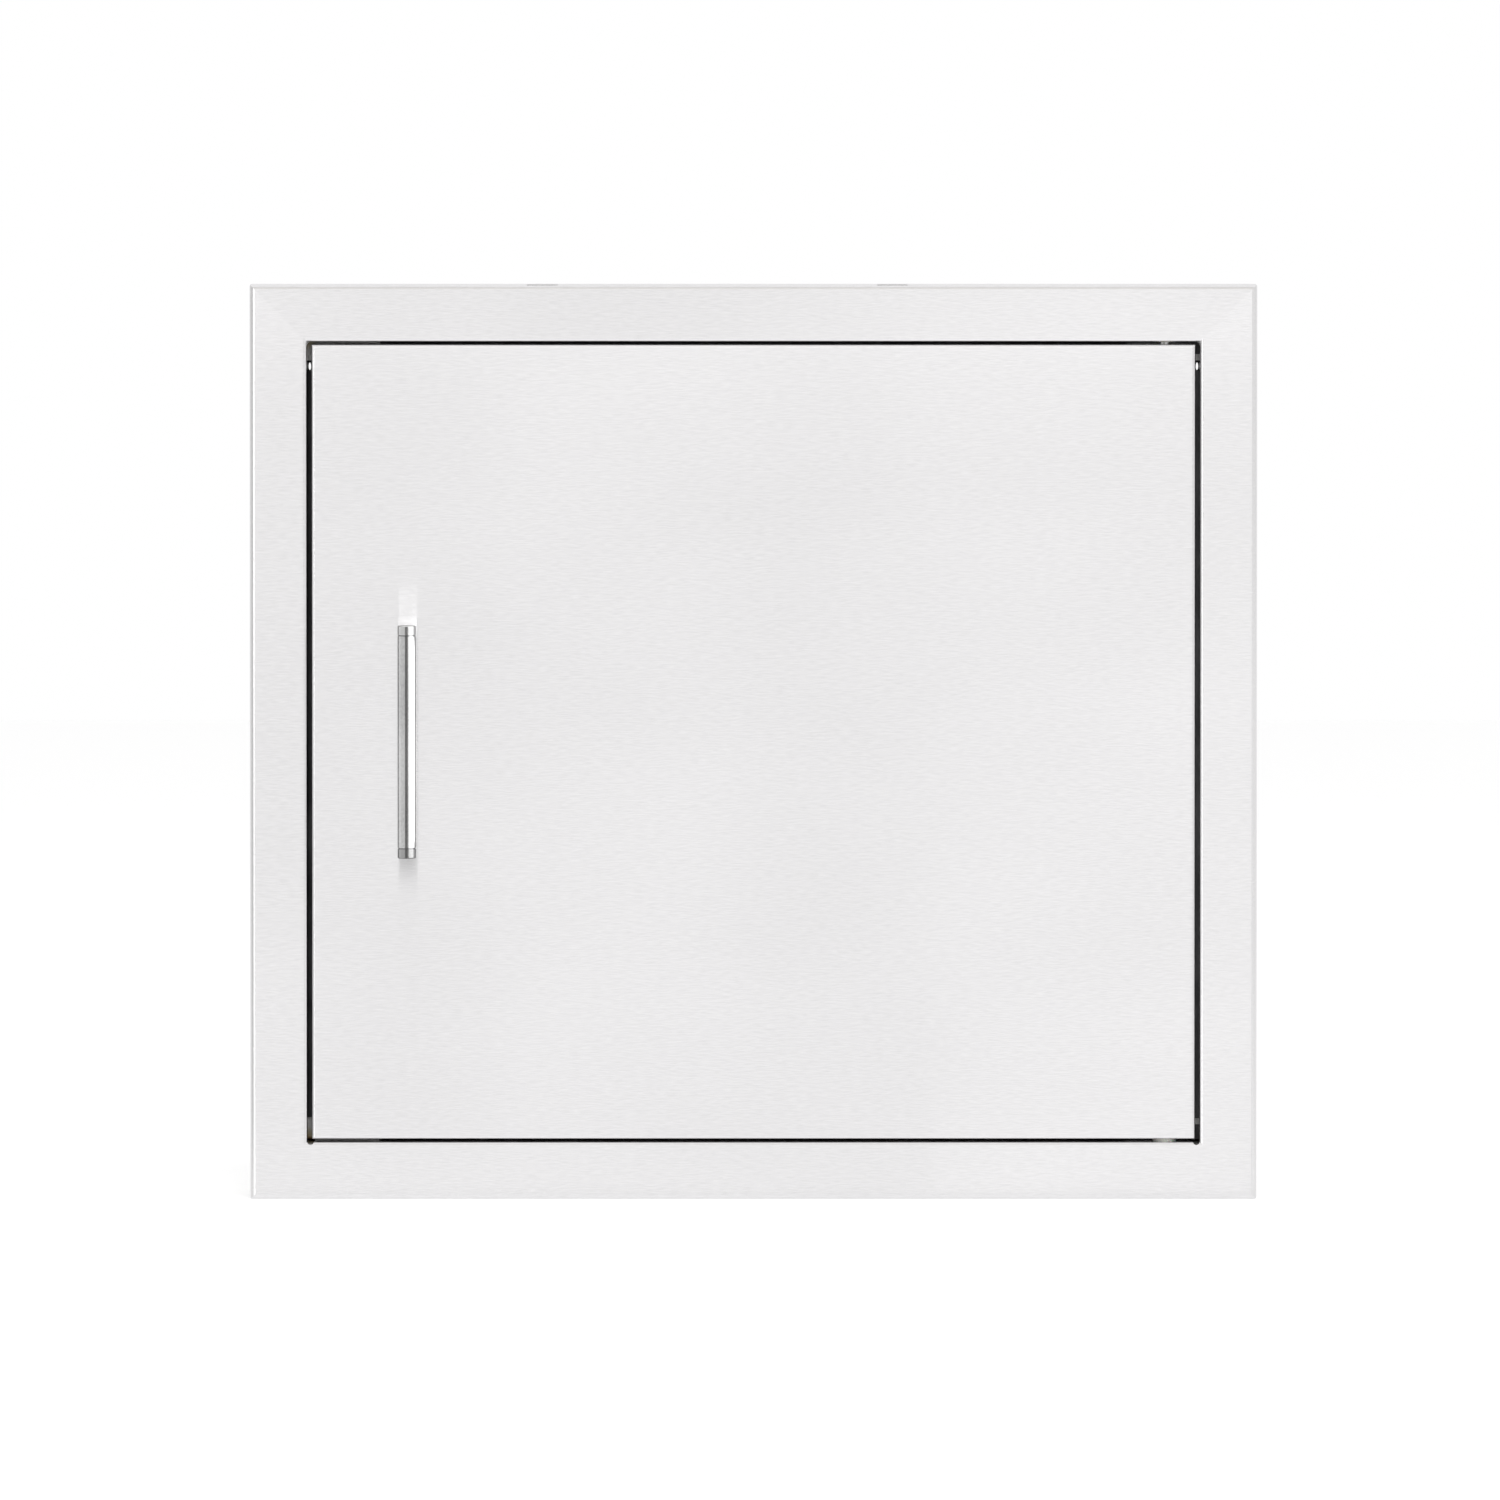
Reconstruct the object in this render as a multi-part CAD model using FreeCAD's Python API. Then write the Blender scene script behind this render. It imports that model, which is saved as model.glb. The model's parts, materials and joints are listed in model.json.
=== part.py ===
import FreeCAD, Part

import math
import os

# Flush access door for an outdoor kitchen island: a flanged face frame with a sleeve
# that goes into a cut-out, and a double-skinned door on two pivots at its right edge.
# Millimetres. X runs to the right, Y into the island, Z up. The origin is the centre of
# the cut-out, in the plane of the island's face, against which the frame's lips rest.

# Face frame
FRAME_W = 558.8
FRAME_H = 508.0
FLANGE_W = 31.8
FRAME_DEPTH = 12.7
FRAME_SHEET = 1.2
WALL_LIP = 10.0
OUTER_BEND_R = 3.0
OPENING_BEND_R = 1.8
LIP_BEND_R = 2.0
FRAME_CORNER_R = 1.5
CORNER_RELIEF_R = 1.7
CORNER_RELIEF_INSET = 1.8
TOP_SLOT_CENTRES = (-117.0, 77.0)
TOP_SLOT_W = 17.0
TOP_SLOT_FRONT = 1.0
TOP_SLOT_REACH = 4.0

# Sleeve that lines the cut-out, and its screw holes
SLEEVE_DEPTH = 63.5
SLEEVE_SHEET = 1.2
SLEEVE_LAP = 8.2
SLEEVE_HOLE_R = 2.6
SLEEVE_HOLE_EDGE = 10.8
SIDE_HOLE_SPACING = 330.0
LEVEL_HOLE_SPACING = 381.0

# Stop strips behind the door, and the seals on them
STOP_DEPTH = 33.0
STOP_W = 12.7
STOP_LEG = 12.0
STOP_SHEET = 1.2
STOP_BEND_R = 2.0
CORNER_VENT = 5.5
SEAL_INSET = 1.0
SEAL_W = 8.0
SEAL_NOSE_R = 3.6
SEAL_CLEAR = 0.3
SEAL_END_CLEAR = 1.0
FLAT_SEAL_T = 3.0

# Door
SIDE_GAP = 2.6
TOP_GAP = 1.7
BOTTOM_GAP = 1.7
DOOR_DEPTH = 20.0
DOOR_SHEET = 1.0
DOOR_BEND_R = 1.6
DOOR_BACK_BEND_R = 1.5
DOOR_LIP = 14.0
LINER_SHEET = 0.8
LINER_INSET = 6.0
LINER_BORDER = 34.0
LINER_RECESS = 4.0
LINER_CORNER_R = 8.0
LINER_EDGE_R = 3.0
RIVET_R = 1.6
RIVET_HEAD_R = 3.2
RIVET_HEAD_T = 1.0
RIVET_TAIL = 1.2
RIVET_EDGE = 9.5
LINER_RIVETS_ACROSS = 4
LINER_RIVETS_UP = 4
STIFFENER_W = 50.0
STIFFENER_CROWN = 24.0
STIFFENER_SHEET = 1.0
STIFFENER_END = 30.0

# Handle
HANDLE_R = 5.0
HANDLE_LENGTH = 128.8
HANDLE_WALL = 1.2
HANDLE_FROM_EDGE = 53.1
HANDLE_ABOVE_MID = 1.4
HANDLE_STANDOFF = 30.0
HANDLE_CAP_LENGTH = 5.7
HANDLE_GROOVE = 0.6
HANDLE_GROOVE_DEPTH = 0.45
HANDLE_CAP_CHAMFER = 0.4
HANDLE_SPIGOT = 6.0
HANDLE_SPIGOT_CLEAR = 0.05
POST_R = 4.0
POST_FROM_END = 16.4
SCREW_R = 2.0
SCREW_HOLE_CLEAR = 0.25
SCREW_THREAD = 10.0
SCREW_HEAD_R = 4.0
SCREW_HEAD_T = 2.5
WASHER_R = 5.0
WASHER_T = 1.0
BACKING_W = 20.0
BACKING_END = 12.0
BACKING_T = 2.0

# Pivots
PIVOT_FROM_EDGE = 17.0
PIVOT_DEPTH = 10.0
PIN_R = 3.0
PIN_RUN_CLEAR = 0.05
BUSH_R = 5.0
BUSH_FLANGE_R = 6.5
BUSH_FLANGE_T = 1.5
PIVOT_PLATE_T = 3.0
PIVOT_PLATE_W = 40.0
PIVOT_PLATE_FRONT = 3.0
PIVOT_PLATE_BACK = 20.0
RETURN_NOTCH_CLEAR = 0.3
THRUST_WASHER_T = 2.0
THRUST_WASHER_CLEAR = 0.1
LOWER_PIN_REACH = 12.0
LOWER_BUSH_LENGTH = 15.0
LOWER_BLOCK_H = 18.0
BLOCK_W = 18.0
BLOCK_D = 15.0

# Sprung upper pin and its release
UPPER_BLOCK_H = 44.0
UPPER_GUIDE = 9.0
LOWER_GUIDE = 7.0
SPRING_BORE_R = 5.6
PIN_TRAVEL = 6.5
PIN_TIP_INSET = 0.4
PIN_TIP_CHAMFER = 0.8
PIN_HOLE_CLEAR = 0.3
PIN_TAIL = 8.0
CLIP_R = 5.2
CLIP_T = 1.2
SPRING_WIRE_R = 0.4
SPRING_R = 4.3
SPRING_TURNS = 9
SPRING_SEAT_CLEAR = 0.05
LEVER_R = 2.0
LEVER_DROP = 4.0
LEVER_SLOT_CLEAR = 0.6
KNOB_R = 4.5
KNOB_LENGTH = 10.0
KNOB_GAP = 2.2
KNOB_ROUND = 1.2
KNOB_SOCKET = 8.0

# Magnetic catches in the two latch-side corners
CATCH_TAB_INSET = 4.0
CATCH_TAB_W = 10.4
CATCH_TAB_REACH = 10.0
CATCH_ARM_INSET = 9.5
CATCH_BRACKET_END = 39.5
CATCH_BRACKET_H = 40.0
CATCH_BRACKET_HEAD = 11.0
CATCH_BRACKET_T = 1.5
CATCH_BODY_INSET = 16.0
CATCH_BODY_W = 21.0
CATCH_BODY_H = 25.0
CATCH_BODY_DROP = 13.0
CATCH_WALL = 2.0
POLE_T = 1.5
POLE_PROUD = 0.5
STRIKE_T = 1.2
STRIKE_MARGIN = 1.0
STRIKE_RIVET_SPACING = 8.0
STRIKE_RIVET_TAIL_R = 2.4
CATCH_SCREW_R = 1.75
CATCH_SCREW_HEAD_R = 3.3
CATCH_SCREW_HEAD_T = 2.0
CATCH_SCREW_LENGTH = 8.0
CATCH_SCREW_INSET = 4.5
CATCH_SCREW_DROP = 7.0

# Planes and edges that follow from the sizes above
FACE_Y = -FRAME_DEPTH
OPEN_X = FRAME_W / 2 - FLANGE_W
OPEN_Z = FRAME_H / 2 - FLANGE_W
SLEEVE_X = OPEN_X + FRAME_SHEET
SLEEVE_Z = OPEN_Z + FRAME_SHEET
SLEEVE_BACK = FACE_Y + SLEEVE_DEPTH
STOP_Y = FACE_Y + STOP_DEPTH
DOOR_LEFT = -OPEN_X + SIDE_GAP
DOOR_RIGHT = OPEN_X - SIDE_GAP
DOOR_TOP = OPEN_Z - TOP_GAP
DOOR_BOTTOM = -OPEN_Z + BOTTOM_GAP
DOOR_MID_Z = (DOOR_TOP + DOOR_BOTTOM) / 2
DOOR_BACK = FACE_Y + DOOR_DEPTH
SKIN_INSIDE = FACE_Y + DOOR_SHEET
LINER_BACK = DOOR_BACK + LINER_SHEET
STRIKE_BACK = LINER_BACK + STRIKE_T
HANDLE_X = DOOR_LEFT + HANDLE_FROM_EDGE
HANDLE_Y = FACE_Y - HANDLE_STANDOFF
HANDLE_Z = DOOR_MID_Z + HANDLE_ABOVE_MID
POST_SPACING = HANDLE_LENGTH - 2 * POST_FROM_END
PIVOT_X = DOOR_RIGHT - PIVOT_FROM_EDGE
PIVOT_Y = FACE_Y + PIVOT_DEPTH
BRACKET_FRONT = STOP_Y - CATCH_BRACKET_T
GUIDE_R = PIN_R + PIN_RUN_CLEAR
BLOCK_TOP = DOOR_TOP - DOOR_SHEET
BLOCK_BOTTOM = BLOCK_TOP - UPPER_BLOCK_H
SPRING_TOP = BLOCK_TOP - UPPER_GUIDE - CLIP_T
SPRING_BOTTOM = BLOCK_BOTTOM + LOWER_GUIDE
LEVER_Z = BLOCK_BOTTOM - LEVER_DROP
SLEEVE_OUTSIDE_Z = SLEEVE_Z + SLEEVE_SHEET
PLATE_OUTSIDE_Z = SLEEVE_OUTSIDE_Z + PIVOT_PLATE_T
PIVOT_SWEEP_R = math.hypot(PIVOT_FROM_EDGE, max(PIVOT_DEPTH, DOOR_DEPTH - PIVOT_DEPTH))

# Edges whose ends differ by less than this lie in one plane
SAME_PLANE = 1e-4

# Each side of the frame: its outward direction and its length direction
SIDES = {
    "top": (FreeCAD.Vector(0, 0, 1), FreeCAD.Vector(1, 0, 0)),
    "bottom": (FreeCAD.Vector(0, 0, -1), FreeCAD.Vector(1, 0, 0)),
    "latch": (FreeCAD.Vector(-1, 0, 0), FreeCAD.Vector(0, 0, 1)),
    "hinge": (FreeCAD.Vector(1, 0, 0), FreeCAD.Vector(0, 0, 1)),
}


def point(x, y, z):
    return FreeCAD.Vector(x, y, z)


def block(x_range, y_range, z_range):
    """Box between two values on each axis."""
    size = [high - low for low, high in (x_range, y_range, z_range)]
    return Part.makeBox(*size, point(x_range[0], y_range[0], z_range[0]))


def rod(radius, start, end):
    """Round bar between two points."""
    along = end - start
    return Part.makeCylinder(radius, along.Length, start, along)


def pivot_rod(radius, low, high):
    """Round bar on the pivot axis."""
    return rod(radius, point(PIVOT_X, PIVOT_Y, low), point(PIVOT_X, PIVOT_Y, high))


def rounded_block(x_range, y_range, z_range, corner_r):
    """Plate facing Y, with its four corners rounded."""
    plate = block(x_range, y_range, z_range)
    corners = []
    for edge in plate.Edges:
        box = edge.BoundBox
        if box.YLength > box.XLength + box.ZLength:
            corners.append(edge)
    return plate.makeFillet(corner_r, corners)


def facing_edges(solid, y):
    """Edges of a solid that lie in one plane across Y."""
    spans = [(edge, edge.BoundBox.YMin, edge.BoundBox.YMax) for edge in solid.Edges]
    return [edge for edge, low, high in spans if abs(low - y) < SAME_PLANE and abs(high - y) < SAME_PLANE]


def level_edges(solid, z):
    """Edges of a solid that lie in one level plane."""
    spans = [(edge, edge.BoundBox.ZMin, edge.BoundBox.ZMax) for edge in solid.Edges]
    return [edge for edge, low, high in spans if abs(low - z) < SAME_PLANE and abs(high - z) < SAME_PLANE]


def group(solids):
    return Part.makeCompound(solids)


def outline_face(corners):
    """Flat face through (point, radius) corners, each rounded by its radius."""
    bends = []
    for index, (corner, radius) in enumerate(corners):
        before = corners[index - 1][0] - corner
        after = corners[(index + 1) % len(corners)][0] - corner
        before.normalize()
        after.normalize()
        half_angle = before.getAngle(after) / 2
        reach = radius / math.tan(half_angle)
        inward = (before + after).normalize() if radius else before
        middle = corner + inward * (radius / math.sin(half_angle) - radius)
        bends.append((corner + before * reach, middle, corner + after * reach, radius))
    edges = []
    for index, (start, middle, end, radius) in enumerate(bends):
        if radius:
            edges.append(Part.Arc(start, middle, end).toShape())
        edges.append(Part.LineSegment(end, bends[(index + 1) % len(bends)][0]).toShape())
    return Part.Face(Part.Wire(edges))


def sheet_corners(path, thickness):
    """Closed corners of a bent sheet that lies to the left of its outside (a, b, radius) path."""
    normals = []
    for (a0, b0, _), (a1, b1, _) in zip(path, path[1:]):
        length = math.hypot(a1 - a0, b1 - b0)
        normals.append((-(b1 - b0) / length, (a1 - a0) / length))
    inside = []
    for index, (a, b, radius) in enumerate(path):
        first = normals[max(index - 1, 0)]
        second = normals[min(index, len(normals) - 1)]
        share = thickness / (1 + first[0] * second[0] + first[1] * second[1])
        inner_r = radius - thickness if radius else 0
        inside.append((a + (first[0] + second[0]) * share, b + (first[1] + second[1]) * share, inner_r))
    return list(path) + inside[::-1]


def side_bar(side, corners, edge, start, end):
    """Section of (inward distance, depth, radius) corners from an edge, run along one side."""
    outward, along = SIDES[side]
    placed = []
    for inward, depth, radius in corners:
        placed.append((outward * (edge - inward) + along * start + point(0, depth, 0), radius))
    return outline_face(placed).extrude(along * (end - start))


def frame_half(side):
    return FRAME_H / 2 if side in ("top", "bottom") else FRAME_W / 2


def sleeve_half(side):
    return SLEEVE_Z if side in ("top", "bottom") else SLEEVE_X


def length_half(side, level_half, upright_half):
    """Half length of a piece along a side: one value for top and bottom, one for the uprights."""
    return level_half if side in ("top", "bottom") else upright_half


def mitre_prism(side):
    """Wedge-ended space that one rail of the frame may fill, cut at 45 degrees to its corners."""
    outward, along = SIDES[side]
    outer = frame_half(side)
    half_length = length_half(side, FRAME_W / 2, FRAME_H / 2)
    depth = FLANGE_W + FRAME_SHEET
    corners = [
        outward * outer - along * half_length,
        outward * outer + along * half_length,
        outward * (outer - depth) + along * (half_length - depth),
        outward * (outer - depth) - along * (half_length - depth),
    ]
    placed = [corner + point(0, FACE_Y, 0) for corner in corners]
    return Part.Face(Part.makePolygon(placed + placed[:1])).extrude(point(0, FRAME_DEPTH, 0))


def rounded_outline():
    """Space inside the frame's outline, with the four outer corners ground round."""
    half_w = FRAME_W / 2
    half_h = FRAME_H / 2
    return rounded_block((-half_w, half_w), (FACE_Y, 0), (-half_h, half_h), FRAME_CORNER_R)


def corner_reliefs():
    """Round relief at each lower corner of the opening, where the bends of two rails meet."""
    reliefs = []
    for x in (-OPEN_X + CORNER_RELIEF_INSET, OPEN_X - CORNER_RELIEF_INSET):
        reliefs.append(rod(CORNER_RELIEF_R, point(x, FACE_Y, -OPEN_Z), point(x, 0, -OPEN_Z)))
    return reliefs


def pivot_notches():
    """Clear space round each pivot, cut in the opening's returns from their back edge."""
    half = BUSH_FLANGE_R + RETURN_NOTCH_CLEAR
    notches = []
    for low, high in ((OPEN_Z - FRAME_SHEET, SLEEVE_Z), (-SLEEVE_Z, -OPEN_Z + FRAME_SHEET)):
        notches.append(block((PIVOT_X - half, PIVOT_X + half), (PIVOT_Y - half, 0), (low, high)))
    return notches


def top_slots():
    """Slots across the outer bend of the top rail."""
    front = FACE_Y + TOP_SLOT_FRONT
    slots = []
    for x in TOP_SLOT_CENTRES:
        x_range = (x - TOP_SLOT_W / 2, x + TOP_SLOT_W / 2)
        z_range = (FRAME_H / 2 - OUTER_BEND_R, FRAME_H / 2)
        slots.append(block(x_range, (front, front + TOP_SLOT_REACH), z_range))
    return slots


def rail(side):
    """One folded side of the face frame: wall lip, outer return, face and opening return."""
    path = [
        (WALL_LIP, 0, 0),
        (0, 0, LIP_BEND_R),
        (0, FACE_Y, OUTER_BEND_R),
        (FLANGE_W, FACE_Y, OPENING_BEND_R),
        (FLANGE_W, 0, 0),
    ]
    half_length = length_half(side, FRAME_W / 2, FRAME_H / 2)
    bar = side_bar(side, sheet_corners(path, FRAME_SHEET), frame_half(side), -half_length, half_length)
    cuts = corner_reliefs() + pivot_notches()
    if side == "top":
        cuts += top_slots()
    return bar.common(mitre_prism(side)).common(rounded_outline()).cut(cuts)


def sleeve(side):
    """One wall of the sleeve, lapped on the back of the opening return, with two screw holes."""
    outward, along = SIDES[side]
    half_length = length_half(side, SLEEVE_X, SLEEVE_Z + SLEEVE_SHEET)
    inner = sleeve_half(side)
    corners = [
        (-SLEEVE_SHEET, -SLEEVE_LAP, 0),
        (0, -SLEEVE_LAP, 0),
        (0, SLEEVE_BACK, 0),
        (-SLEEVE_SHEET, SLEEVE_BACK, 0),
    ]
    wall = side_bar(side, corners, inner, -half_length, half_length)
    spacing = length_half(side, LEVEL_HOLE_SPACING, SIDE_HOLE_SPACING)
    cuts = []
    for offset in (-spacing / 2, spacing / 2):
        start = outward * inner + along * offset + point(0, SLEEVE_BACK - SLEEVE_HOLE_EDGE, 0)
        cuts.append(rod(SLEEVE_HOLE_R, start, start + outward * SLEEVE_SHEET))
    if side == "top":
        cuts.append(pivot_rod(BUSH_R, SLEEVE_Z, SLEEVE_OUTSIDE_Z))
    if side == "bottom":
        cuts.append(pivot_rod(PIN_R, -SLEEVE_OUTSIDE_Z, -SLEEVE_Z))
    return wall.cut(cuts)


def catch_screw_places():
    """Centres of the catch bracket screws, in the front plane of the stop strips."""
    z = SLEEVE_Z - CATCH_SCREW_DROP
    places = []
    for x in (CATCH_TAB_INSET + CATCH_SCREW_INSET, CATCH_BRACKET_END - CATCH_SCREW_INSET):
        places.append(point(-OPEN_X + x, STOP_Y, z))
        places.append(point(-OPEN_X + x, STOP_Y, -z))
    return places


def stop_strip(side):
    """Angle strip behind the door, spot-welded to the sleeve."""
    path = [
        (0, STOP_Y + STOP_LEG, 0),
        (0, STOP_Y, STOP_BEND_R),
        (STOP_W, STOP_Y, 0),
    ]
    low = length_half(side, -SLEEVE_X, -SLEEVE_Z + STOP_W)
    high = length_half(side, SLEEVE_X, SLEEVE_Z - STOP_W - CORNER_VENT)
    strip = side_bar(side, sheet_corners(path, STOP_SHEET), sleeve_half(side), low, high)
    depth = point(0, STOP_SHEET, 0)
    return strip.cut([rod(CATCH_SCREW_R, place, place + depth) for place in catch_screw_places()])


def bulb_seal(side):
    """Rubber bulb seal on a stop strip, its nose just off the back of the closed door."""
    nose = DOOR_BACK + SEAL_CLEAR
    corners = [
        (SEAL_INSET, STOP_Y, 0),
        (SEAL_INSET, nose, SEAL_NOSE_R),
        (SEAL_INSET + SEAL_W, nose, SEAL_NOSE_R),
        (SEAL_INSET + SEAL_W, STOP_Y, 0),
    ]
    if side == "latch":
        low = -SLEEVE_Z + STOP_W + SEAL_END_CLEAR
        high = SLEEVE_Z - STOP_W - CORNER_VENT
    else:
        low = -OPEN_X + CATCH_BRACKET_END + SEAL_END_CLEAR
        high = flat_seal_start()
    return side_bar(side, corners, sleeve_half(side), low, high)


def flat_seal_start():
    """Where the tall bulb ends at top and bottom, clear of the door's back corner as it swings."""
    return PIVOT_X - PIVOT_SWEEP_R - SEAL_END_CLEAR


def flat_seal():
    """Thin foam strip down the hinge side and a little way along top and bottom."""
    corners = [
        (SEAL_INSET, STOP_Y, 0),
        (SEAL_INSET, STOP_Y - FLAT_SEAL_T, 0),
        (SEAL_INSET + SEAL_W, STOP_Y - FLAT_SEAL_T, 0),
        (SEAL_INSET + SEAL_W, STOP_Y, 0),
    ]
    upright = side_bar("hinge", corners, SLEEVE_X, -SLEEVE_Z + STOP_W, SLEEVE_Z - STOP_W - CORNER_VENT)
    strips = [upright]
    for side in ("top", "bottom"):
        strips.append(side_bar(side, corners, SLEEVE_Z, flat_seal_start(), SLEEVE_X - SEAL_INSET))
    return group(strips)


def door_skin():
    """Outer pan of the door: face, four returns and the lips that carry the liner."""
    x_range = (DOOR_LEFT, DOOR_RIGHT)
    y_range = (FACE_Y, DOOR_BACK)
    z_range = (DOOR_BOTTOM, DOOR_TOP)
    outer = block(x_range, y_range, z_range)
    outer = outer.makeFillet(DOOR_BEND_R, facing_edges(outer, FACE_Y))
    outer = outer.makeFillet(DOOR_BACK_BEND_R, facing_edges(outer, DOOR_BACK))
    hollow = block(
        (DOOR_LEFT + DOOR_SHEET, DOOR_RIGHT - DOOR_SHEET),
        (SKIN_INSIDE, DOOR_BACK - DOOR_SHEET),
        (DOOR_BOTTOM + DOOR_SHEET, DOOR_TOP - DOOR_SHEET),
    )
    hollow = hollow.makeFillet(DOOR_BEND_R - DOOR_SHEET, facing_edges(hollow, SKIN_INSIDE))
    lip_front = DOOR_BACK - DOOR_SHEET
    hollow = hollow.makeFillet(DOOR_BACK_BEND_R - DOOR_SHEET, facing_edges(hollow, lip_front))
    window = block(
        (DOOR_LEFT + DOOR_LIP, DOOR_RIGHT - DOOR_LIP),
        (SKIN_INSIDE + DOOR_BEND_R, DOOR_BACK),
        (DOOR_BOTTOM + DOOR_LIP, DOOR_TOP - DOOR_LIP),
    )
    cuts = [hollow, window] + handle_screw_holes(FACE_Y, SKIN_INSIDE)
    cuts.append(pivot_rod(PIN_R + PIN_HOLE_CLEAR, BLOCK_TOP, DOOR_TOP))
    cuts.append(pivot_rod(BUSH_R, DOOR_BOTTOM, DOOR_BOTTOM + DOOR_SHEET))
    for x, z in liner_rivet_places():
        cuts.append(rod(RIVET_R, point(x, DOOR_BACK - DOOR_SHEET, z), point(x, DOOR_BACK, z)))
    return outer.cut(cuts)


def liner_rivet_places():
    """Rivet centres round the border of the liner."""
    left = DOOR_LEFT + RIVET_EDGE
    right = DOOR_RIGHT - RIVET_EDGE
    bottom = DOOR_BOTTOM + RIVET_EDGE
    top = DOOR_TOP - RIVET_EDGE
    across = (right - left) / (LINER_RIVETS_ACROSS - 1)
    up = (top - bottom) / (LINER_RIVETS_UP - 1)
    places = []
    for index in range(LINER_RIVETS_ACROSS):
        places.append((left + across * index, bottom))
        places.append((left + across * index, top))
    for index in range(1, LINER_RIVETS_UP - 1):
        places.append((left, bottom + up * index))
        places.append((right, bottom + up * index))
    return places


def door_liner():
    """Inner skin: a border riveted to the lips and a field pressed in towards the face."""
    x_range = (DOOR_LEFT + LINER_INSET, DOOR_RIGHT - LINER_INSET)
    z_range = (DOOR_BOTTOM + LINER_INSET, DOOR_TOP - LINER_INSET)
    border = rounded_block(x_range, (DOOR_BACK, LINER_BACK), z_range, LINER_EDGE_R)
    field_x = (DOOR_LEFT + LINER_BORDER, DOOR_RIGHT - LINER_BORDER)
    field_z = (DOOR_BOTTOM + LINER_BORDER, DOOR_TOP - LINER_BORDER)
    tray = rounded_block(field_x, (DOOR_BACK - LINER_RECESS, LINER_BACK), field_z, LINER_CORNER_R)
    pocket = rounded_block(
        (field_x[0] + LINER_SHEET, field_x[1] - LINER_SHEET),
        (LINER_BACK - LINER_RECESS, LINER_BACK),
        (field_z[0] + LINER_SHEET, field_z[1] - LINER_SHEET),
        LINER_CORNER_R - LINER_SHEET,
    )
    cuts = [pocket]
    slot_half = LEVER_R + LEVER_SLOT_CLEAR
    slot_z = (LEVER_Z - PIN_TRAVEL - slot_half, LEVER_Z + slot_half)
    cuts.append(block((PIVOT_X - slot_half, PIVOT_X + slot_half), (DOOR_BACK, LINER_BACK), slot_z))
    for x, z in liner_rivet_places() + strike_rivet_places():
        cuts.append(rod(RIVET_R, point(x, DOOR_BACK, z), point(x, LINER_BACK, z)))
    return border.fuse(tray).removeSplitter().cut(cuts)


def liner_rivets():
    """Rivets that hold the liner on the lips, with flat domed heads."""
    rivets = []
    for x, z in liner_rivet_places():
        shank = rod(RIVET_R, point(x, DOOR_BACK - DOOR_SHEET - RIVET_TAIL, z), point(x, LINER_BACK, z))
        head = Part.makeCone(RIVET_HEAD_R, RIVET_R, RIVET_HEAD_T, point(x, LINER_BACK, z), point(0, 1, 0))
        rivets.append(shank.fuse(head))
    return group(rivets)


def door_stiffener():
    """Hat-section rib bonded to the inside of the face, up to the back of the liner's field."""
    height = DOOR_DEPTH - DOOR_SHEET - LINER_RECESS - STIFFENER_SHEET
    corners = sheet_corners(hat_path(height), STIFFENER_SHEET)
    centre_x = (DOOR_LEFT + DOOR_RIGHT) / 2
    bottom = DOOR_BOTTOM + STIFFENER_END
    placed = [(point(centre_x + a, SKIN_INSIDE + b, bottom), radius) for a, b, radius in corners]
    return outline_face(placed).extrude(point(0, 0, DOOR_TOP - STIFFENER_END - bottom))


def hat_path(height):
    """Door side of the hat section: foot, web, crown, web, foot."""
    half = STIFFENER_W / 2
    crown = STIFFENER_CROWN / 2
    return [
        (-half, 0, 0),
        (-crown, 0, 0),
        (-crown, height, 0),
        (crown, height, 0),
        (crown, 0, 0),
        (half, 0, 0),
    ]


def post_heights():
    return (HANDLE_Z - POST_SPACING / 2, HANDLE_Z + POST_SPACING / 2)


def handle_screw_holes(front, back):
    """Clearance holes for the handle screws, between two depths."""
    holes = []
    for z in post_heights():
        hole_r = SCREW_R + SCREW_HOLE_CLEAR
        holes.append(rod(hole_r, point(HANDLE_X, front, z), point(HANDLE_X, back, z)))
    return holes


def on_handle(z):
    """Point on the handle's centre line."""
    return point(HANDLE_X, HANDLE_Y, z)


def handle_bar():
    """Tube of the handle between its two end caps."""
    half = HANDLE_LENGTH / 2 - HANDLE_CAP_LENGTH
    low = on_handle(HANDLE_Z - half)
    high = on_handle(HANDLE_Z + half)
    return rod(HANDLE_R, low, high).cut(rod(HANDLE_R - HANDLE_WALL, low, high))


def handle_cap():
    """Upper end cap: a turned disc, a fine groove under it and a spigot in the tube."""
    top = HANDLE_Z + HANDLE_LENGTH / 2
    seat = top - HANDLE_CAP_LENGTH
    groove_top = seat + HANDLE_GROOVE
    disc = rod(HANDLE_R, on_handle(groove_top), on_handle(top))
    disc = disc.makeChamfer(HANDLE_CAP_CHAMFER, level_edges(disc, top))
    neck = rod(HANDLE_R - HANDLE_GROOVE_DEPTH, on_handle(seat), on_handle(groove_top))
    spigot_r = HANDLE_R - HANDLE_WALL - HANDLE_SPIGOT_CLEAR
    spigot = rod(spigot_r, on_handle(seat - HANDLE_SPIGOT), on_handle(seat))
    return disc.fuse([neck, spigot])


def lower_handle_cap():
    return handle_cap().mirror(point(0, 0, HANDLE_Z), point(0, 0, 1))


def handle_posts():
    """Two round posts, coped to the bar and drilled for their screws from the back."""
    posts = []
    bar = rod(HANDLE_R, on_handle(DOOR_BOTTOM), on_handle(DOOR_TOP))
    for z in post_heights():
        post = rod(POST_R, point(HANDLE_X, FACE_Y, z), on_handle(z)).cut(bar)
        thread = rod(SCREW_R, point(HANDLE_X, FACE_Y, z), point(HANDLE_X, FACE_Y - SCREW_THREAD, z))
        posts.append(post.cut(thread))
    return group(posts)


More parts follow.
